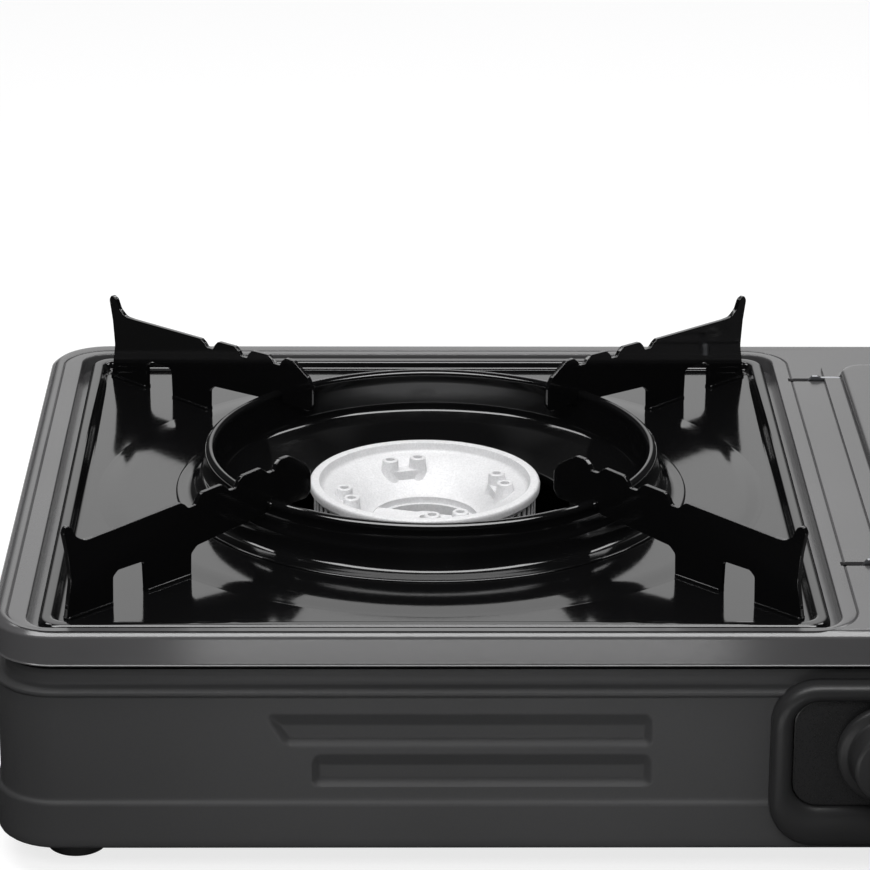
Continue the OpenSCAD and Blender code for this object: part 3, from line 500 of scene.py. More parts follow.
def grained_finish(name, colour, tint, gloss, bumps, ior=1.5, metallic=0.0, stretch=None, window=(0.3, 0.7)):
    """A finish made of noise grains, each (scale, detail) or (scale, detail, roughness).

    tint is (grain, darkest, lightest), as shares of the colour; gloss is (grain, smoothest, roughest); a bump is
    (grain, strength, depth in millimetres); window is the part of the tint's grain that shows.
    """
    material, tree, shader = new_finish(name)
    place = object_coordinates(tree)
    if stretch:
        mapping = tree.nodes.new("ShaderNodeMapping")
        mapping.inputs["Scale"].default_value = stretch
        tree.links.new(place, mapping.inputs["Vector"])
        place = mapping.outputs["Vector"]
    grains = {}
    for grain in [tint[0], gloss[0]] + [bump[0] for bump in bumps]:
        if grain not in grains:
            grains[grain] = noise(tree, place, *grain)
    spread = ranged(tree, grains[tint[0]], 0, 1, *window)
    mixed = blended(tree, spread, shade(colour, tint[1]), shade(colour, tint[2]))
    tree.links.new(mixed, shader.inputs["Base Color"])
    tree.links.new(ranged(tree, grains[gloss[0]], *gloss[1:]), shader.inputs["Roughness"])
    shader.inputs["IOR"].default_value = ior
    shader.inputs["Metallic"].default_value = metallic
    bumped(tree, shader, [(grains[grain], strength, deep) for grain, strength, deep in bumps])
    return material


def plastic(rough, size):
    """Grains of moulded plastic with a spark-eroded skin."""
    return {"tint": ((30, 2), 0.92, 1.1), "gloss": ((size, 3, 0.6), rough - 0.06, rough + 0.06),
            "bumps": [((size, 3, 0.6), 0.35, 0.02)]}


def metal(rough, stretch=None):
    """Grains of plain metal, drawn or rolled along the stretch."""
    return {"tint": ((40, 3), 0.82, 1.08), "gloss": ((900, 3), rough - 0.08, rough + 0.1),
            "bumps": [((900, 3), 0.2, 0.01)], "metallic": 1.0, "stretch": stretch}


# Moulded rubber: matt, with a dusty bloom
RUBBER = {"tint": ((180, 4), 0.85, 1.5), "gloss": ((1500, 2), 0.7, 0.85), "bumps": [((1500, 2), 0.3, 0.03)]}

GRAINS = {
    # Glossy vitreous enamel: deep black, a faint flow in the gloss, a few pin specks
    "black_enamel": {"tint": ((2600, 1), 1.0, 4.0), "gloss": ((500, 2), 0.07, 0.1), "ior": 1.7,
                     "bumps": [((60, 2), 0.06, 0.3), ((500, 2), 0.02, 0.02)], "window": (0.74, 0.8)},
    # Satin baking paint: a fine grain and soft gloss
    "cover_grey": {"tint": ((12, 3), 0.9, 1.1), "gloss": ((2200, 2), 0.18, 0.24), "ior": 1.7,
                   "bumps": [((420, 2), 0.05, 0.02), ((2200, 2), 0.05, 0.008)]},
    # Matt powder coat
    "panel_grey": {"tint": ((9, 3), 0.9, 1.08), "gloss": ((1700, 3, 0.6), 0.46, 0.6),
                   "bumps": [((1700, 3, 0.6), 0.3, 0.03)]},
    "black_plastic": plastic(0.42, 1500),
    "face_plastic": plastic(0.3, 2600),
    "lead_sleeve": plastic(0.4, 2000),
    "rubber_foot": RUBBER,
    "rubber_seal": RUBBER,
    "zinc_steel": metal(0.34, (1, 1, 6)),
    "screw_steel": metal(0.28),
    "brass": metal(0.26),
    # Glazed insulator porcelain
    "white_ceramic": {"tint": ((300, 3), 0.93, 1.0), "gloss": ((300, 3), 0.12, 0.22),
                      "bumps": [((300, 3), 0.1, 0.02)]},
}


def product(tree, *values):
    """Several values multiplied."""
    whole = values[0]
    for value in values[1:]:
        whole = worked(tree, "MULTIPLY", whole, value)
    return whole


def port_shade(tree, place):
    """Painted shade: one inside the burner's flame ports, where the casting's colour is darkened to stand in for the
    shade there, and nought elsewhere.
    """
    offset = tree.nodes.new("ShaderNodeVectorMath")
    offset.operation = "MULTIPLY_ADD"
    offset.inputs[1].default_value = (1, 1, 0)
    offset.inputs[2].default_value = (-BURNER_X * MM, -BURNER_Y * MM, 0)
    radius = tree.nodes.new("ShaderNodeVectorMath")
    radius.operation = "LENGTH"
    height = tree.nodes.new("ShaderNodeSeparateXYZ")
    tree.links.new(place, offset.inputs[0])
    tree.links.new(offset.outputs["Vector"], radius.inputs[0])
    tree.links.new(place, height.inputs["Vector"])
    reach, z = radius.outputs["Value"], height.outputs["Z"]
    low, top = HEAD_LOW[2], HEAD_HIGH[2]
    limits = ((reach, 0, 1, 30.6, 30.9), (reach, 1, 0, 35.7, 36.2), (z, 0, 1, low + 5.3, low + 5.5),
              (z, 1, 0, top - 4.6, top - 4.35))
    return product(tree, *[ranged(tree, value, a, b, start * MM, stop * MM) for value, a, b, start, stop in limits])


def cast_finish(colour):
    """Blasted aluminium casting: bright and finely pitted, with painted shade inside the flame ports."""
    material, tree, shader = new_finish("cast_aluminium")
    place = object_coordinates(tree)
    pits = noise(tree, place, 1500, 3, 0.7)
    patches = noise(tree, place, 260, 4)
    tint = blended(tree, ranged(tree, patches, 0, 1), shade(colour, 0.95), shade(colour, 1.03))
    grain = blended(tree, ranged(tree, pits, 0, 1, 0.36, 0.7), tint, shade(colour, 0.84))
    # Painted shade: the casting's colour goes near black inside the flame ports, where little light reaches
    port_shaded = blended(tree, port_shade(tree, place), grain, shade(colour, 0.07))
    tree.links.new(port_shaded, shader.inputs["Base Color"])
    shader.inputs["Metallic"].default_value = 0.22
    tree.links.new(ranged(tree, pits, 0.46, 0.62), shader.inputs["Roughness"])
    bumped(tree, shader, [(patches, 0.1, 0.06), (pits, 0.6, 0.06)])
    return material


# ---------------------------------------------------------------- settings

def colour_property(name, description, default):
    """A colour setting."""
    return bpy.props.FloatVectorProperty(name=name, description=description, default=default, size=3, min=0.0,
                                         max=1.0, subtype="COLOR")


def length_property(name, description, default):
    """A length setting, given in millimetres."""
    return bpy.props.FloatProperty(name=name, description=description, default=default * MM, min=0.0,
                                   subtype="DISTANCE", unit="LENGTH")


class StoveFinishes(bpy.types.PropertyGroup):
    """Colours of the stove's finishes."""
    enamel: colour_property("Enamel", "Colour of the tray, ring and pan supports", (0.0035, 0.0035, 0.0037))
    cover: colour_property("Cover", "Colour of the cover and the lid", (0.072, 0.071, 0.073))
    panel: colour_property("Panel", "Colour of the lower case", (0.043, 0.043, 0.044))
    plastic: colour_property("Plastic", "Colour of the bezel, knob and lever", (0.018, 0.018, 0.0185))
    casting: colour_property("Casting", "Colour of the burner casting", (0.80, 0.80, 0.81))
    floor: colour_property("Floor", "Colour of the floor", (0.3, 0.3, 0.303))


class StoveSizes(bpy.types.PropertyGroup):
    """Sizes of the stove's visible details."""
    rim_flat: length_property("Tray rim", "Width of the flat rim round the tray", 3.7)
    plate_drop: length_property("Tray depth", "Depth of the tray plate below its rim", RIM_Z - PLATE_Z)
    support_thickness: length_property("Support thickness", "Thickness of an enamelled pan support", 1.6)
    crease: length_property("Crease", "Depth of the pressed line round the tray opening", 0.35)
    slots: bpy.props.IntProperty(name="Flame slots", description="Number of slots round the burner", default=60,
                                 min=12)
    screw: length_property("Case screw", "Diameter of a case screw's head", 5.4)


def finishes():
    """The finish colours of this scene."""
    return bpy.context.scene.stove_finishes


def sizes():
    """The detail sizes of this scene."""
    return bpy.context.scene.stove_sizes


def finish(name):
    """A finish that the finishes operator made."""
    return bpy.data.materials[name]


# ---------------------------------------------------------------- operators

class StoveOperator:
    """What all of the stove's operators share."""
    bl_options = {"REGISTER", "UNDO"}

    def execute(self, context):
        """Builds the piece."""
        self.build(context)
        return {"FINISHED"}


class STOVE_OT_finishes(StoveOperator, bpy.types.Operator):
    """Makes the finishes and gives each CAD node its own"""
    bl_idname = "stove.finishes"
    bl_label = "Finishes"

    def build(self, context):
        """Makes every finish, then paints the nodes."""
        own = finishes()
        colours = {
            "black_enamel": own.enamel[:], "cover_grey": own.cover[:], "panel_grey": own.panel[:],
            "black_plastic": own.plastic[:], "face_plastic": shade(own.plastic, 0.8),
            "lead_sleeve": (0.28, 0.03, 0.02), "rubber_foot": (0.02, 0.02, 0.02), "rubber_seal": (0.03, 0.024, 0.022),
            "zinc_steel": (0.56, 0.57, 0.6), "screw_steel": (0.6, 0.6, 0.62), "brass": (0.72, 0.52, 0.25),
            "white_ceramic": (0.86, 0.84, 0.79)}
        made = {name: grained_finish(name, colour, **GRAINS[name]) for name, colour in colours.items()}
        made["cast_aluminium"] = cast_finish(own.casting[:])
        slots = {part["node"]: part["material_slot"] for part in frame["record"]["subparts"]}
        for node, piece in frame["nodes"].items():
            for place in piece.material_slots:
                place.material = made[slots[node]]


def plate_height():
    """Height of the tray's plate, in millimetres."""
    return RIM_Z - sizes().plate_drop / MM


def tray_section():
    """The drip tray's loops from the hole outwards over the rim, and back underneath."""
    w, d = TRAY_HIGH[0] - TRAY_LOW[0], TRAY_HIGH[1] - TRAY_LOW[1]
    plate = plate_height()
    flat = sizes().rim_flat / MM

    def inset(start, *steps):
        return [frame_loop(TRAY_X, TRAY_Y, w - 2 * gap, d - 2 * gap, max(7 - gap * 0.4, 4.5), start + z, 36, 10)
                for gap, z in steps]

    over = inset(plate, (7.2, 0), (6.7, 0.01), (6.2, 0.06), (5.6, 0.3), (flat + 1.35, 0.8), (flat + 0.75, 1.9))
    over += inset(RIM_Z, (flat + 0.35, -0.35), (flat - 0.1, -0.06), (flat - 0.7, 0), (1.7, 0), (1.15, -0.05),
                  (0.9, -0.16), (0.38, -0.54), (0.1, -0.95), (0, -1.5))
    under = inset(TRAY_LOW[2], (0, 0), (0.8, 0))
    under += inset(RIM_Z, (0.8, -1.5), (1.3, -0.9), (2.0, -0.8), (flat - 0.9, -0.8), (flat - 0.3, -1.1))
    under += inset(plate, (flat + 0.5, 0.3), (flat + 1.2, -0.5), (5.8, -TRAY_GAUGE), (7.2, -TRAY_GAUGE))
    hole = (RING_HIGH[0] - RING_LOW[0]) / 2 - 5.5
    rounds = [(hole, 0.5), (84, 0.5), (99.0, 0.5), (101.5, 0.45), (104.0, 0.3), (106.5, 0.12), (107.9, 0.05),
              (108.3, 0.04), (108.6, 0.02), (108.9, 0.0), (109.2, 0.0), (109.5, 0.0)]
    outer = over[-1]
    top, low = [[circle_like(outer, TRAY_X, TRAY_Y, r, plate + z - gauge) for r, z in rounds]
                for gauge in (0, TRAY_GAUGE)]
    return top + over + under + low[::-1]


class STOVE_OT_tray(StoveOperator, bpy.types.Operator):
    """Presses the enamelled drip tray"""
    bl_idname = "stove.tray"
    bl_label = "Drip tray"

    def build(self, context):
        """Lofts the tray's section."""
        piece = link_object("tray_pressing", loft("tray_pressing", tray_section()))
        finish_piece(piece, "pan_tray", "black_enamel", "drip_tray", angle=60)


class STOVE_OT_pan_ring(StoveOperator, bpy.types.Operator):
    """Spins the pan ring with its rolled rim, flared foot and bowl"""
    bl_idname = "stove.pan_ring"
    bl_label = "Pan ring"

    def build(self, context):
        """Turns the ring's section."""
        plate = plate_height()
        roll_r, roll_half = 72, 1.8
        roll_z = RING_HIGH[2] - roll_half
        shoulder = [(1.5, -1.0), (1.78, -0.45), (1.85, 0.1), (1.8, 0.5), (1.62, 0.85), (1.38, 1.1), (0.72, 1.58),
                    (0.35, 1.75)]
        roll = [(roll_r + r, roll_z + z) for r, z in shoulder] + [(roll_r, roll_z + roll_half)]
        roll += [(roll_r - r, roll_z + z) for r, z in reversed(shoulder[1:])]
        foot = [(82.8, 0.5), (83.2, 0.54), (83.36, 0.7), (83.24, 0.88), (82.9, 1.04), (82.5, 1.06), (81.8, 1.0),
                (80.2, 0.98), (79.0, 1.08), (78.1, 1.4), (77.3, 1.95), (76.7, 2.7), (76.2, 3.8), (75.75, 5.4),
                (75.4, 6.8), (75.25, 7.6), (74.8, 8.1), (74.45, 8.9), (74.1, 10.8)]
        inner = [(70.2, 11.2), (69.95, 9.0), (69.7, 5.0), (69.4, 3.4), (69.0, 2.6), (68.0, 1.8), (64.0, 0.1),
                 (56.0, -3.6), (49.0, -6.9), (47.4, -7.5), (46.6, -7.4), (46.3, -6.6), (46.3, -5.7), (45.6, -5.6),
                 (45.5, -6.6), (45.8, -7.9), (46.6, -8.6), (48.6, -8.2), (56.0, -4.8), (64.0, -1.1), (68.4, 0.9),
                 (69.9, 1.6), (70.5, 3.0), (70.7, 6.0), (70.8, 9.5), (71.3, 12.3), (72.6, 12.5), (73.2, 10.6),
                 (73.5, 8.6), (74.3, 7.2), (74.9, 5.4), (75.4, 3.9), (76.1, 2.6), (76.9, 1.5), (77.8, 0.9),
                 (79.0, 0.55), (81.0, 0.5)]
        section = [(r, plate + z) for r, z in foot] + roll + [(r, plate + z) for r, z in inner]
        piece = turned("ring_pressing", section, finish("black_enamel"), 192, (TRAY_X, TRAY_Y))
        finish_piece(piece, "pan_tray", "black_enamel", "pan_ring", angle=70, weighted=False)


SUPPORT_OUTLINE = [
    (157.4, 0.0, 0.4), (155.3, 12.0, 9), (156.2, 21.0, 9), (157.7, 28.2, 1.6), (156.6, 30.2, 1.5),
    (154.2, 29.2, 2.0), (152.6, 25.8, 3), (149.6, 23.7, 4), (145.6, 23.6, 4), (110.4, 25.0, 1.2),
    (108.7, 24.0, 0.9), (107.3, 22.6, 0.9), (104.3, 22.6, 1.3), (103.3, 24.4, 1.0), (101.7, 26.0, 1.8),
    (93.2, 26.4, 1.4), (91.4, 25.2, 1.0), (90.0, 23.6, 1.0), (87.2, 23.6, 1.3), (86.4, 25.4, 1.0),
    (84.6, 26.9, 1.8), (76.7, 27.4, 1.4), (74.9, 26.2, 1.0), (73.6, 25.0, 1.0), (71.0, 25.0, 1.3),
    (70.1, 26.8, 1.0), (68.2, 28.2, 1.8), (64.4, 28.3, 2.6), (57.4, 24.0, 2.2), (55.1, 20.8, 2.2),
    (55.1, 14.4, 1.6), (57.0, 12.2, 1.6), (68.4, 11.9, 0.6), (69.9, 11.9, 0.5), (69.9, 14.6, 1.4),
    (71.9, 16.2, 1.6), (74.1, 14.4, 1.6), (75.0, 11.6, 1.0), (80.0, 11.2, 2), (104.0, 9.2, 2.6),
    (106.4, 7.2, 1.6), (106.6, 0.0, 0.3), (125.4, 0.0, 0.3), (125.8, 10.2, 1.6), (136.4, 10.3, 1.8),
    (138.4, 8.7, 1.4), (138.6, 0.0, 0.3)]


class STOVE_OT_pan_supports(StoveOperator, bpy.types.Operator):
    """Cuts the four stepped pan supports"""
    bl_idname = "stove.pan_supports"
    bl_label = "Pan supports"

    def build(self, context):
        """Places one support on each diagonal of the tray."""
        plate = plate_height()
        thick = sizes().support_thickness / MM
        corners = {"back_right": 45, "back_left": 135, "front_left": 225, "front_right": 315}
        for corner, turn in corners.items():
            name = "pan_support_" + corner
            blade = plate_mesh("blade", fillet(SUPPORT_OUTLINE, 4), thick, 0.55)
            mesh = joined("blade_" + corner, [blade] + self.welds(thick / 2))
            piece = link_object("blade_" + corner, moved(mesh, (TRAY_X, TRAY_Y, plate), turn))
            finish_piece(piece, "pan_tray", "black_enamel", name, angle=50)

    def welds(self, half):
        """Beads where the blade stands on the plate and crosses the ring's roll."""
        # Start and stop along the blade, lowest and highest, how far the bead stands out, and its roundness
        runs = ((107.0, 125.0, -0.3, 0.95, 0.85, 0.6), (139.0, 157.0, -0.3, 0.95, 0.85, 0.6),
                (71.6, 74.4, 12.6, 15.4, 1.6, 1.0))
        beads = []
        for side in (-1, 1):
            for start, stop, low, high, out, bevel in runs:
                near, far = sorted((side * (half - 0.6), side * (half + out)))
                beads.append(block_mesh("bead", (start, near, low), (stop, far, high), bevel, 4))
        return beads


class STOVE_OT_burner(StoveOperator, bpy.types.Operator):
    """Casts the burner head: dish, rim, teeth and screw posts"""
    bl_idname = "stove.burner"
    bl_label = "Burner"

    def build(self, context):
        """Turns the dish, then repeats the teeth and the posts."""
        cast = finish("cast_aluminium")
        top, low = HEAD_HIGH[2], HEAD_LOW[2]
        middle = (BURNER_X, BURNER_Y)
        count = sizes().slots
        dish = [(r, low + z) for r, z in ((36.4, 3), (36.4, 5.4), (36.2, 5.7), (32.2, 5.8), (31.4, 6.2))]
        dish += [(r, top - z) for r, z in (
            (31.4, 6.0), (32.4, 4.9), (36.2, 4.3), (36.4, 4.1), (36.5, 3.2), (37.3, 3.0), (37.7, 2.6), (37.8, 1.2),
            (37.6, 0.4), (37.2, 0.05), (36.8, 0), (34.9, 0), (34.6, 0.1), (34.4, 0.5), (34.1, 2.1), (33.6, 2.8),
            (32.7, 3.2), (30.5, 4.0), (28.0, 5.4), (25.0, 7.3), (22.4, 9.2), (20.6, 10.7), (19.2, 11.9),
            (18.3, 12.5), (17.8, 12.7), (17.4, 12.9), (17.3, 13.2))]
        body = turned("burner_dish", dish + [(17.3, low + 3)], cast, 144, middle)
        spigot = turned("burner_spigot", [(25.0, low), (27.4, low), (27.4, low + 3.2), (25.0, low + 3.2)], cast, 72,
                        middle)
        tooth = link_object("tooth", block_mesh("tooth", (31.0, -0.75, low + 5.2), (36.35, 0.75, top - 3.8), 0.2))
        teeth = ring_of("burner_teeth", tooth, count, 180 / count, (*middle, 0), cast)
        pair = link_object("post_pair", self.post_pair(top))
        posts = ring_of("burner_posts", pair, 4, 15, (*middle, 0), cast)
        parts = [taken(part) for part in (body, spigot, teeth, posts)]
        whole = link_object("burner_casting", joined("burner_casting", parts))
        finish_piece(whole, "case", "cast_aluminium", "burner_head", angle=35)

    def post_pair(self, top):
        """Two hollow screw posts with the web between them, on the +X axis."""
        crest, floor = top - 2.0, top - 9.2
        reach, half_angle = 26.4, 10.3
        section = [(1.3, crest - 3.4), (1.3, crest - 0.35), (1.5, crest - 0.06), (1.75, crest), (2.35, crest - 0.04),
                   (2.62, crest - 0.28), (2.7, crest - 0.9), (2.82, crest - 2.6), (3.0, crest - 4.4),
                   (3.3, crest - 5.8), (3.7, crest - 6.6), (4.0, floor), (1.3, floor)]
        meshes = []
        for side in (-1, 1):
            disc = block_mesh("post_floor", (-1.4, -1.4, crest - 3.6), (1.4, 1.4, crest - 3.3))
            post = joined("post", [taken(turned("post", section, None, 28)), disc])
            angle = math.radians(half_angle * side)
            meshes.append(moved(post, (reach * math.cos(angle), reach * math.sin(angle), 0)))
        web = [(-5.0, floor), (5.0, floor), (4.4, crest - 3.7), (-4.4, crest - 3.7)]
        meshes.append(moved(plate_mesh("web", web, 6.2, 0.5), (26.1, 0, 0), 90))
        return joined("post_pair", meshes)


class STOVE_OT_cover(StoveOperator, bpy.types.Operator):
    """Presses the top cover with its skirt, tray well and bay opening"""
    bl_idname = "stove.cover"
    bl_label = "Top cover"

    def build(self, context):
        """Lofts the cover from the skirt over the top into the well, then cuts the bay and the ear slots."""
        w, d = COVER_HIGH[0] - COVER_LOW[0], COVER_HIGH[1] - COVER_LOW[1]
        skirt = RIM_Z - 11.0
        crease = sizes().crease / MM

        def outer(start, *steps):
            return [frame_loop(0, BODY_Y, w - 2 * gap, d - 2 * gap, BODY_CORNER - gap, start + z, 20, 12)
                    for gap, z in steps]

        def well(*steps):
            return [frame_loop(TRAY_X, TRAY_Y + 0.7 + lip / 2, OPENING[0] + 2 * gap, OPENING[1] + 2 * gap - lip,
                               9 + gap, RIM_Z + z, 20, 12) for gap, z, lip in steps]

        def bead(*steps):
            return [frame_loop(TRAY_X - 0.5, TRAY_Y + 2.0, CREASE_LINE[0] + 2 * gap, CREASE_LINE[1] + 2 * gap,
                               15 + gap, RIM_Z + z, 20, 12) for gap, z in steps]

        loops = outer(skirt, (1.35, 0.5), (0.8, 0.02), (0.3, 0.03), (0.06, 0.12), (0, 0.26), (0.04, 0.37),
                      (0.16, 0.47), (0.34, 0.58), (0.43, 0.72), (0.47, 0.95), (0.48, 1.4))
        loops += outer(RIM_Z, (0.48, -2.5), (0.49, -2.05), (0.56, -1.78), (0.74, -1.54), (0.95, -1.36),
                       (1.85, -0.68), (2.4, -0.3), (3.0, -0.09), (3.6, -0.01), (4.2, 0))
        loops += bead((0.6, 0), (0.25, -crease * 0.5), (0, -crease), (-0.3, -crease * 0.5), (-0.7, 0))
        loops += well((0.8, 0, 0), (0.35, -0.06, 0.6), (0.1, -0.3, 1.1), (0, -0.8, 1.4), (0, -5.2, 0),
                      (-8, -5.2, 0), (-8, -6.2, 0), (1, -6.2, 0), (1, -1.2, 0))
        loops += bead((0.5, -1)) + outer(RIM_Z, (3.0, -1), (1.7, -1.4), (1.1, -2.2))
        loops += outer(skirt, (1.0, 1.0), (1.35, 0.8))
        piece = link_object("cover_pressing", loft("cover_pressing", loops))
        cuts = [block_mesh("bay_cut", (*BAY_LOW, skirt - 3), (*BAY_HIGH, RIM_Z + 10))]
        cuts += [block_mesh("ear_cut", (88.5, y - 1.6, RIM_Z - 4), (103.1, y + 1.6, RIM_Z + 4)) for y in EAR_PLACES]
        cut(piece, cuts)
        finish_piece(piece, "case", "cover_grey", "top_cover")
        spots = [(-WALL_HALF - 1, y - TAB_HALF, -WALL_HALF, y + TAB_HALF) for y in LEFT_SCREWS]
        spots.append((WALL_HALF, RIGHT_SCREW - TAB_HALF, WALL_HALF + 1, RIGHT_SCREW + TAB_HALF))
        spots += [(x - TAB_HALF, WALL_BACK, x + TAB_HALF, WALL_BACK + 1) for x in BACK_SCREWS]
        tabs = [block_mesh("tab", (x0, y0, TAB_FOOT), (x1, y1, skirt + 4), 0.3) for x0, y0, x1, y1 in spots]
        piece = link_object("cover_tabs", joined("cover_tabs", tabs))
        finish_piece(piece, "case", "cover_grey")


class STOVE_OT_case(StoveOperator, bpy.types.Operator):
    """Presses the lower case with its bead, recess, step and long grooves"""
    bl_idname = "stove.case"
    bl_label = "Lower case"

    def build(self, context):
        """Lofts the wall's section down to the floor; the front wall carries the grooves."""
        floor, high = CASE_LOW[2], CASE_HIGH[2]
        outside = [(5.0, floor), (2.6, floor + 0.02), (1.5, floor + 0.35), (0.8, floor + 0.95), (0.4, floor + 1.8),
                   (0.3, 13.0), (0.3, 23.6), (0.36, 24.2), (0.7, 24.7), (1.2, 25.1), (1.45, 25.5), (1.5, 26.2)]
        outside += [(1.5, 27.4 + 0.45 * i) for i in range(61)]
        outside += [(1.5, 56.5), (1.5, 58.6), (1.6, 58.9), (1.8, 59.15), (1.78, 59.4), (1.3, 59.55), (0.9, 59.75),
                    (0.68, 60.05), (0.64, 60.45), (0.68, 60.8), (0.85, 61.05), (2.1, 61.98), (2.7, 62.25),
                    (3.4, 62.45), (3.85, 62.85), (4.0, 63.6), (4.0, 65.2), (3.86, 65.5), (3.86, 65.9), (4.0, 66.2),
                    (4.0, 67.1), (4.1, 67.35), (4.4, 67.4), (4.7, 67.2), (4.8, 66.8), (4.8, 64.5), (8.0, 64.4),
                    (8.0, high)]
        inside = [(9.0, high), (9.0, 63.6), (4.9, 63.6), (4.6, 62.0), (3.4, 61.2), (2.5, 59.5)]
        inside += [(2.5, 54.4 - 0.9 * i) for i in range(31)]
        inside += [(1.6, 24.0), (1.4, floor + 3), (3.4, floor + 1), (6.0, floor + 1)]
        loops = [self.wall_loop(gap, z) for gap, z in outside + inside]
        piece = link_object("case_pressing", loft("case_pressing", loops, capped=True))
        front, right = COVER_LOW[1], COVER_HIGH[0]
        cuts = [block_mesh("bezel_hole", (FACE_LOW[0] + 3, front - 5, FACE_LOW[2] + 1.6),
                           (FACE_HIGH[0] - 1, front + 7, FACE_HIGH[2] - 1.6)),
                block_mesh("well_gap", (-164.4, front - 5, 73.5), (88.4, front + 14, high + 5)),
                block_mesh("bay_gap", (right - 12, BAY_LOW[1], 70), (right + 8, BAY_HIGH[1], high + 5))]
        cut(piece, cuts)
        self.vents(piece, floor)
        finish_piece(piece, "case", "panel_grey", "lower_case")

    def vents(self, piece, floor):
        """Cuts the floor's vents and the holes of the foot screws."""
        spots = [(BURNER_X + side * 62, BURNER_Y - 24 + row * 16, 34, 4, 1.9, 8)
                 for side in (-1, 1) for row in range(4)]
        spots += [(x, y, 4, 4, 1.98, 6) for x, y in FOOT_PLACES]
        cut(piece, [loft("vent", [frame_loop(*spot, z, 2, bend) for z in (floor - 2, floor + 3)], capped=True)
                    for *spot, bend in spots])

    def wall_loop(self, inset, z):
        """One level of the wall, with the front wall pressed in at the grooves."""
        w, d = COVER_HIGH[0] - COVER_LOW[0], COVER_HIGH[1] - COVER_LOW[1]
        # Points along the front wall, close together where the grooves end: first one, spacing, how many
        runs = ((-152, 4, 15), (-91.5, 0.5, 52), (-64, 6, 14), (19, 0.5, 22), (34, 6, 19), (148, 0, 1))
        spread = [first + gap * i for first, gap, count in runs for i in range(count)]
        loop = frame_loop(0, BODY_Y, w - 2 * inset, d - 2 * inset, BODY_CORNER - inset, z, 16, 10, sorted(spread))
        pressed = []
        for x, y, level in loop:
            if y < COVER_LOW[1] + 4 and 27 < level < 57 and inset < 4:
                y += self.groove_depth(x, level)
            pressed.append((x, y, level))
        return pressed

    def groove_depth(self, x, z):
        """How deep the front wall is pressed in at a point."""
        depth = 0.0
        for left, right, low, high, slant in GROOVES:
            start = left + slant * max(high - z, 0)
            # Shares of the way down each slope: a long one above, short ones below and at the ends
            side = min(x - start, right - x) / GROOVE_END_SLOPE
            edge = min((high - z) / GROOVE_TOP_SLOPE, (z - low) / GROOVE_LOW_SLOPE)
            if side < 1 and edge < 1:
                edge = 1 - math.hypot(1 - side, 1 - edge)
            else:
                edge = min(side, edge)
            share = min(max(edge, 0.0), 1.0)
            depth = max(depth, GROOVE_DEEP * min(share * (1.08 - 0.08 * share), 1.0))
        return depth


class STOVE_OT_lid(StoveOperator, bpy.types.Operator):
    """Presses the lid over the cartridge bay, with its raised panel and folded right edge"""
    bl_idname = "stove.lid"
    bl_label = "Lid"
    fold = 2.0
    # The folded edge is a little narrower: half widths in millimetres
    taper, half_width = 3.3, 104

    def build(self, context):
        """Lofts a flat blank from its rim to the raised panel, folds it, then cuts the ear slots."""
        (x0, y0, z0), (x1, y1, z1) = LID_LOW, LID_HIGH
        top = RIM_Z + 1.0
        bend_x = x1 - self.fold
        reach = bend_x + self.fold * math.pi / 2 + top - self.fold - z0
        middle = (y0 + y1) / 2
        rise = z1 - top

        def rim(gap):
            return frame_loop((x0 + reach) / 2, middle, reach - x0 - 2 * gap, y1 - y0 - 2 * gap, 6 - gap, 0, 44, 8)

        def panel(gap):
            return frame_loop((x0 + 6 + x1 - 8) / 2, middle, x1 - x0 - 14 + 2 * gap, y1 - y0 - 14 + 2 * gap, 8 + gap,
                              0, 44, 8)

        def level(loop, lift):
            return [self.folded(x, y, lift, bend_x, middle, top) for x, y, _ in loop]

        def between(part, lift):
            mixed = [(a[0] + (b[0] - a[0]) * part, a[1] + (b[1] - a[1]) * part, 0)
                     for a, b in zip(rim(0.25), panel(1.3))]
            return level(mixed, lift)

        upper = [level(panel(gap), lift) for gap, lift in (
            (0.7, 0.05), (0.3, 0.22), (0.08, 0.5), (0.0, rise - 1.6), (-0.2, rise - 1.05), (-0.6, rise - 0.55),
            (-1.2, rise - 0.2), (-1.9, rise - 0.04), (-2.8, rise), (-9.0, rise))]
        lower = [level(panel(gap), lift) for gap, lift in (
            (-9.0, rise - 1), (-2.8, rise - 1), (-1.8, rise - 1.4), (-1.0, rise - 2.1), (-0.9, -0.6), (-0.5, -0.9))]
        steps = [i / 26 for i in range(27)]
        loops = lower + [between(1 - t, -1.0) for t in steps] + [level(rim(0), -0.8), level(rim(0), -0.25)]
        loops += [between(t, 0.0) for t in steps] + upper
        piece = link_object("lid_pressing", loft("lid_pressing", loops, capped=True))
        cut(piece, [block_mesh("ear_cut", (x0 - 2, y - 0.8, RIM_Z - 2), (x0 + 7.2, y + 0.8, top + 1))
                    for y in EAR_PLACES])
        finish_piece(piece, "lid", "cover_grey", "lid")

    def folded(self, x, y, lift, bend_x, middle, top):
        """A point of the flat blank after the right edge is folded down."""
        near = min(max((x - bend_x + 5) / 5, 0.0), 1.0)
        y = middle + (y - middle) * (1 - self.taper / self.half_width * near * near * (3 - 2 * near))
        run = x - bend_x
        if run <= 0:
            return (x, y, top + lift)
        quarter = self.fold * math.pi / 2
        angle = min(run, quarter) / self.fold
        radius = self.fold + lift
        return (bend_x + radius * math.sin(angle), y,
                top - self.fold + radius * math.cos(angle) - max(run - quarter, 0.0))


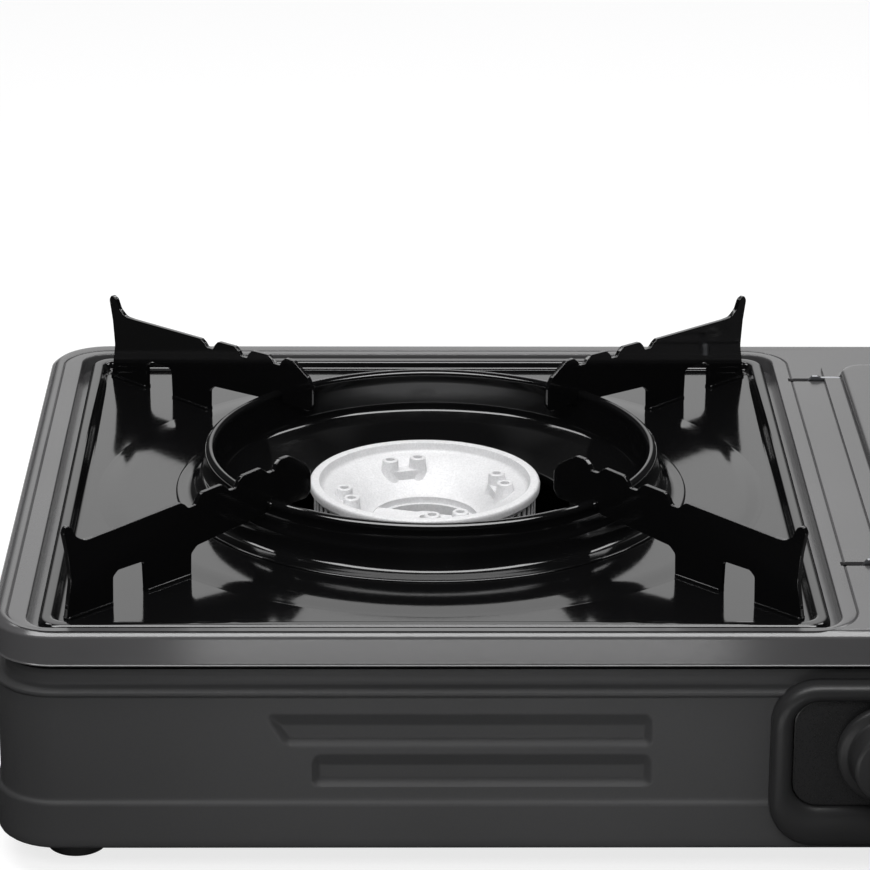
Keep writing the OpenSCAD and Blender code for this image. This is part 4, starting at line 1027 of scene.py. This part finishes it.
class STOVE_OT_feet(StoveOperator, bpy.types.Operator):
    """Moulds the four rubber feet"""
    bl_idname = "stove.feet"
    bl_label = "Feet"

    def build(self, context):
        """Turns one foot and sets it at each corner of the floor."""
        section = [(2.2, 9), (9.5, 9), (9.9, 8.8), (10, 8.3), (9.8, 6.4), (9.5, 6.1), (9.45, 5.7), (9.65, 5.4),
                   (9.25, 1.3), (8.95, 0.5), (8.4, 0.1), (7.6, 0), (5.3, 0), (4.8, 0.2), (4.5, 0.7), (4.5, 3),
                   (2.2, 3)]
        spots = [((x, y, 0), (0, 0, 0)) for x, y in FOOT_PLACES]
        piece = fasteners("rubber_feet", turned("foot", section, None, 56), spots, "rubber_foot")
        finish_piece(piece, "case", "rubber_foot", "foot_front_left", "foot_front_right", "foot_back_left",
                     "foot_back_right", angle=35)


class STOVE_OT_bezel(StoveOperator, bpy.types.Operator):
    """Moulds the control bezel, its face and the knob"""
    bl_idname = "stove.bezel"
    bl_label = "Controls"

    def build(self, context):
        """Makes the frame, the face and the knob."""
        self.bezel_frame()
        self.face()
        self.knob()

    def bezel_frame(self):
        """The frame round the controls, wrapped back to the case's corner."""
        outer = (BEZEL_LOW[0], BEZEL_HIGH[0], BEZEL_LOW[2], BEZEL_HIGH[2], 14)
        inner = (FACE_LOW[0], FACE_HIGH[0], FACE_LOW[2], FACE_HIGH[2], 8)
        front = BEZEL_LOW[1]
        root = COVER_LOW[1] + 1.45
        # The case's rounded corner, which the back of the frame follows
        corner_x, corner_y, corner_r = 151.5, -102.5, 19.0

        def wrapped(x0, x1, z0, z1, r, y):
            points = []
            for x, _, z in upright_loop(x0, x1, z0, z1, r, y, 24, 10):
                back = corner_y - math.sqrt(max(corner_r ** 2 - max(x - corner_x, 0) ** 2, 0))
                points.append((x, y if y < front + 6 else back + (y - COVER_LOW[1] - 1.5), z))
            return points

        loops = [wrapped(*outer, root)]
        for part, sink in ((0.0, 3.4), (0.02, 2.2), (0.12, 0.9), (0.28, 0.22), (0.5, 0.0), (0.72, 0.22), (0.88, 0.9),
                           (0.98, 1.9), (1.0, 3.0)):
            loops.append(wrapped(*[a + (b - a) * part for a, b in zip(outer, inner)], front + sink))
        loops.append(wrapped(*inner, root))
        piece = link_object("bezel_moulding", loft("bezel_moulding", loops))
        finish_piece(piece, "case", "black_plastic", "control_bezel", angle=50)

    def face(self):
        """The inset face with its softened edge."""
        y = FACE_LOW[1]
        loops = [upright_loop(FACE_LOW[0] + gap, FACE_HIGH[0] - gap, FACE_LOW[2] + gap, FACE_HIGH[2] - gap, 8 - gap,
                              y + depth, 10, 8) for gap, depth in ((0.12, 1.7), (0.12, 0.5), (0.3, 0.15), (0.8, 0))]
        piece = link_object("face_moulding", loft("face_moulding", loops, capped=True))
        cut(piece, [block_mesh("slot_cut", (147.5, y - 3, 27), (153.5, y + 5, 57))])
        finish_piece(piece, "case", "face_plastic", "bezel_face")

    def knob(self):
        """The knob: a skirt, a drum and a grip bar."""
        cx = (KNOB_LOW[0] + KNOB_HIGH[0]) / 2
        cz = (KNOB_LOW[2] + KNOB_HIGH[2]) / 2
        r = (KNOB_HIGH[0] - KNOB_LOW[0]) / 2
        front, back = KNOB_LOW[1], KNOB_HIGH[1]
        deep = back - front
        section = [(0.01, 0.0), (r - 0.8, 0.0), (r - 0.2, 0.25), (r, 0.8), (r, 2.6), (r - 0.3, 3.4), (r - 1.2, 3.9),
                   (r - 2.6, 4.1), (r - 3.1, 4.6), (r - 3.3, 5.6), (r - 3.9, deep - 3.4), (r - 4.4, deep - 2.6),
                   (r - 5.6, deep - 2.2), (0.01, deep - 2.0)]
        drum = taken(turned("drum", section, None, 96))
        bar = fillet([(-4.4, -r + 2.6, 2.5), (4.4, -r + 2.6, 2.5), (3.6, r - 2.6, 3.2), (-3.6, r - 2.6, 3.2)], 6)
        grip = moved(plate_mesh("grip", bar, deep - 3.6, 0.9), (0, 0, 3.6 + (deep - 3.6) / 2), 90, "X")
        whole = moved(joined("knob_moulding", [drum, grip]), (cx, back, cz), 90, "X")
        piece = link_object("knob_moulding", whole)
        finish_piece(piece, "knob", "black_plastic", "knob", angle=45)


class STOVE_OT_case_screws(StoveOperator, bpy.types.Operator):
    """Sets the cross-head screws in the case's recess"""
    bl_idname = "stove.case_screws"
    bl_label = "Case screws"

    def build(self, context):
        """Repeats one screw on the points of the case's screws."""
        z = SCREW_Z
        spots = [((-WALL_HALF, y, z), (0, -90, 0)) for y in LEFT_SCREWS]
        spots.append(((WALL_HALF, RIGHT_SCREW, z), (0, 90, 0)))
        spots += [((x, WALL_BACK, z), (-90, 0, 0)) for x in BACK_SCREWS]
        # The head's section and cross are shares of its radius; the tree gives it its size
        unit = 0.5 / MM
        section = [(0.01, -0.2), (0.98, -0.2), (1.0, 0.1), (0.93, 0.3), (0.72, 0.42), (0.4, 0.48), (0.01, 0.5)]
        head = turned("head", [(r * unit, h * unit) for r, h in section], None, 32)
        cut(head, [block_mesh("cross", (-x * unit, -y * unit, 0.2 * unit), (x * unit, y * unit, 2 * unit))
                   for x, y in ((0.5, 0.11), (0.11, 0.5))])
        piece = fasteners("case_screw_heads", head, spots, "screw_steel", sizes().screw)
        finish_piece(piece, "case", "screw_steel", "case_screws", angle=30)


# Name, place, aim, width, depth, power, and whether it shows in the gloss
LAMPS = (
    ("overhead", (0.1, 0.2, 1.5), (-0.02, 0.0, 0.0), 1.4, 1.0, 1.5, False),
    ("front_fill", (-0.2, -0.82, 0.72), (-0.08, -0.1, 0.05), 0.9, 0.3, 4.4, False),
    ("softbox", (-0.05, -0.22, 1.3), (-0.05, -0.2, 0.0), 1.5, 0.42, 12.0, True),
    ("strip_behind", (0.09, 0.87, 0.96), (0.09, 0.05, 0.08), 0.42, 0.1, 0.6, True),
    ("low_card", (-0.027, -0.275, 0.016), (-0.027, 0.0, 0.03), 0.186, 0.028, 0.047, True),
    ("low_card_middle", (-0.01, -0.275, 0.016), (-0.01, 0.0, 0.03), 0.11, 0.028, 0.014, True),
    ("side_card_left", (-0.82, 0.62, 1.3), (-0.04, 0.0, 0.08), 0.36, 0.36, 1.7, True),
    ("side_card_right", (0.82, 0.62, 1.3), (-0.04, 0.0, 0.08), 0.36, 0.36, 1.7, True))
FLOOR_REACH = 14
FLOOR_GLOW = 0.78
SOFT_LIGHT = 0.24
# The camera's place in millimetres, its aim, its roll in degrees and its lens
CAMERA_PLACE, CAMERA_AIM = (-51.87, -1204.58, 541.88), (0.01174, 0.93831, -0.34560)
CAMERA_ROLL, CAMERA_LENS = 0.28, 163.5


class STOVE_OT_stage(StoveOperator, bpy.types.Operator):
    """Sets the floor, lights and camera"""
    bl_idname = "stove.stage"
    bl_label = "Stage"

    def build(self, context):
        """Builds a plain studio."""
        scene = context.scene
        scene.view_settings.view_transform = "Standard"
        self.floor()
        self.world(scene)
        for lamp in LAMPS:
            self.lamp(*lamp)
        self.camera(scene)

    def floor(self):
        """A wide pale floor that shows as white to the eye and keeps the stove's shadow."""
        corners = [(x * FLOOR_REACH, y * FLOOR_REACH, 0) for x, y in ((-1, -1), (1, -1), (1, 1), (-1, 1))]
        mesh = bpy.data.meshes.new("floor")
        mesh.from_pydata(corners, [], [(0, 1, 2, 3)])
        piece = link_object("floor", mesh)
        material, tree, shader = new_finish("floor_paint")
        nodes, links = tree.nodes, tree.links
        shader.inputs["Roughness"].default_value = 0.8
        shader.inputs["Specular IOR Level"].default_value = 0.0
        path = nodes.new("ShaderNodeLightPath").outputs
        place = nodes.new("ShaderNodeSeparateXYZ")
        links.new(object_coordinates(tree), place.inputs["Vector"])
        # The gloss mirrors the glow only behind the stove; the floor in front stays dark to it
        behind = ranged(tree, place.outputs["Y"], 0.0, 1.0, 0.2, 0.6)
        mirrored = product(tree, path["Is Glossy Ray"], behind)
        seen = worked(tree, "MAXIMUM", path["Is Camera Ray"], mirrored)
        unlit = worked(tree, "SUBTRACT", path["Is Glossy Ray"], mirrored)
        tint = blended(tree, unlit, finishes().floor[:], (0.03, 0.03, 0.03))
        links.new(tint, shader.inputs["Base Color"])
        glow = nodes.new("ShaderNodeEmission")
        links.new(product(tree, seen, FLOOR_GLOW), glow.inputs["Strength"])
        both = nodes.new("ShaderNodeAddShader")
        links.new(shader.outputs[0], both.inputs[0])
        links.new(glow.outputs[0], both.inputs[1])
        links.new(both.outputs[0], nodes["Material Output"].inputs["Surface"])
        mesh.materials.append(material)

    def world(self, scene):
        """Soft even light, which gloss sees bright only from behind and dark to the sides; seen as white."""
        world = bpy.data.worlds.new("studio")
        world.use_nodes = True
        scene.world = world
        tree = world.node_tree
        nodes, links = tree.nodes, tree.links
        back = nodes["Background"]
        back.inputs["Color"].default_value = (1.0, 1.0, 1.0, 1.0)
        path = nodes.new("ShaderNodeLightPath").outputs
        seen = worked(tree, "MAXIMUM", path["Is Camera Ray"], path["Is Transmission Ray"])
        ways = nodes.new("ShaderNodeSeparateXYZ")
        links.new(nodes.new("ShaderNodeTexCoord").outputs["Generated"], ways.inputs["Vector"])
        depth = ranged(tree, ways.outputs["Y"], 0.008, 1.0, 0.42, 0.66)
        aside = ranged(tree, worked(tree, "ABSOLUTE", ways.outputs["X"]), 1.0, 0.04, 0.13, 0.3)
        gloss = nodes.new("ShaderNodeMix")
        gloss.inputs[2].default_value = SOFT_LIGHT
        links.new(path["Is Glossy Ray"], gloss.inputs[0])
        links.new(product(tree, depth, aside), gloss.inputs[3])
        links.new(worked(tree, "MAXIMUM", seen, gloss.outputs[0]), back.inputs["Strength"])

    def lamp(self, name, place, target, width, depth, power, gloss):
        """One soft rectangular lamp; without gloss it leaves no highlight."""
        data = bpy.data.lights.new(name, "AREA")
        data.shape = "RECTANGLE"
        data.size = width
        data.size_y = depth
        data.energy = power
        lamp = bpy.data.objects.new(name, data)
        bpy.context.scene.collection.objects.link(lamp)
        lamp.location = place
        lamp.visible_camera = False
        lamp.visible_glossy = gloss
        lamp.rotation_euler = (Vector(target) - Vector(place)).to_track_quat("-Z", "Y").to_euler()

    def camera(self, scene):
        """The camera, a little left of the middle and above the front edge."""
        data = bpy.data.cameras.new("camera")
        data.lens = CAMERA_LENS
        data.sensor_width = 36.0
        data.clip_end = 100.0
        eye = bpy.data.objects.new("camera", data)
        scene.collection.objects.link(eye)
        forward = Vector(CAMERA_AIM).normalized()
        right = forward.cross(Vector((0, 0, 1))).normalized()
        up = right.cross(forward)
        roll = math.radians(CAMERA_ROLL)
        across = math.cos(roll) * right + math.sin(roll) * up
        upward = -math.sin(roll) * right + math.cos(roll) * up
        turn = Matrix((across, upward, -forward)).transposed().to_4x4()
        turn.translation = Vector(CAMERA_PLACE) * MM
        eye.matrix_world = turn
        scene.camera = eye


class STOVE_PT_panel(bpy.types.Panel):
    """Lists the stove's operators and settings."""
    bl_label = "Cassette Stove"
    bl_idname = "STOVE_PT_panel"
    bl_space_type = "VIEW_3D"
    bl_region_type = "UI"
    bl_category = "Stove"

    def draw(self, context):
        """Draws the settings, then one button for each operator."""
        for group in (context.scene.stove_finishes, context.scene.stove_sizes):
            for key in group.bl_rna.properties.keys():
                if key not in {"rna_type", "name"}:
                    self.layout.prop(group, key)
        for operator in OPERATORS:
            self.layout.operator(operator.bl_idname)


OPERATORS = (STOVE_OT_finishes, STOVE_OT_tray, STOVE_OT_pan_ring, STOVE_OT_pan_supports, STOVE_OT_burner,
             STOVE_OT_cover, STOVE_OT_case, STOVE_OT_lid, STOVE_OT_bezel, STOVE_OT_feet, STOVE_OT_case_screws,
             STOVE_OT_stage)
CLASSES = (StoveFinishes, StoveSizes) + OPERATORS + (STOVE_PT_panel,)


def register():
    """Registers the classes and hangs the settings on the scene."""
    for entry in CLASSES:
        bpy.utils.register_class(entry)
    bpy.types.Scene.stove_finishes = bpy.props.PointerProperty(type=StoveFinishes)
    bpy.types.Scene.stove_sizes = bpy.props.PointerProperty(type=StoveSizes)


def unregister():
    """Takes the settings and the classes away again."""
    del bpy.types.Scene.stove_sizes
    del bpy.types.Scene.stove_finishes
    for entry in reversed(CLASSES):
        bpy.utils.unregister_class(entry)


def main():
    """Builds the whole stove."""
    register()
    for operator in OPERATORS:
        space, name = operator.bl_idname.split(".")
        getattr(getattr(bpy.ops, space), name)()


if __name__ == "__main__":
    main()
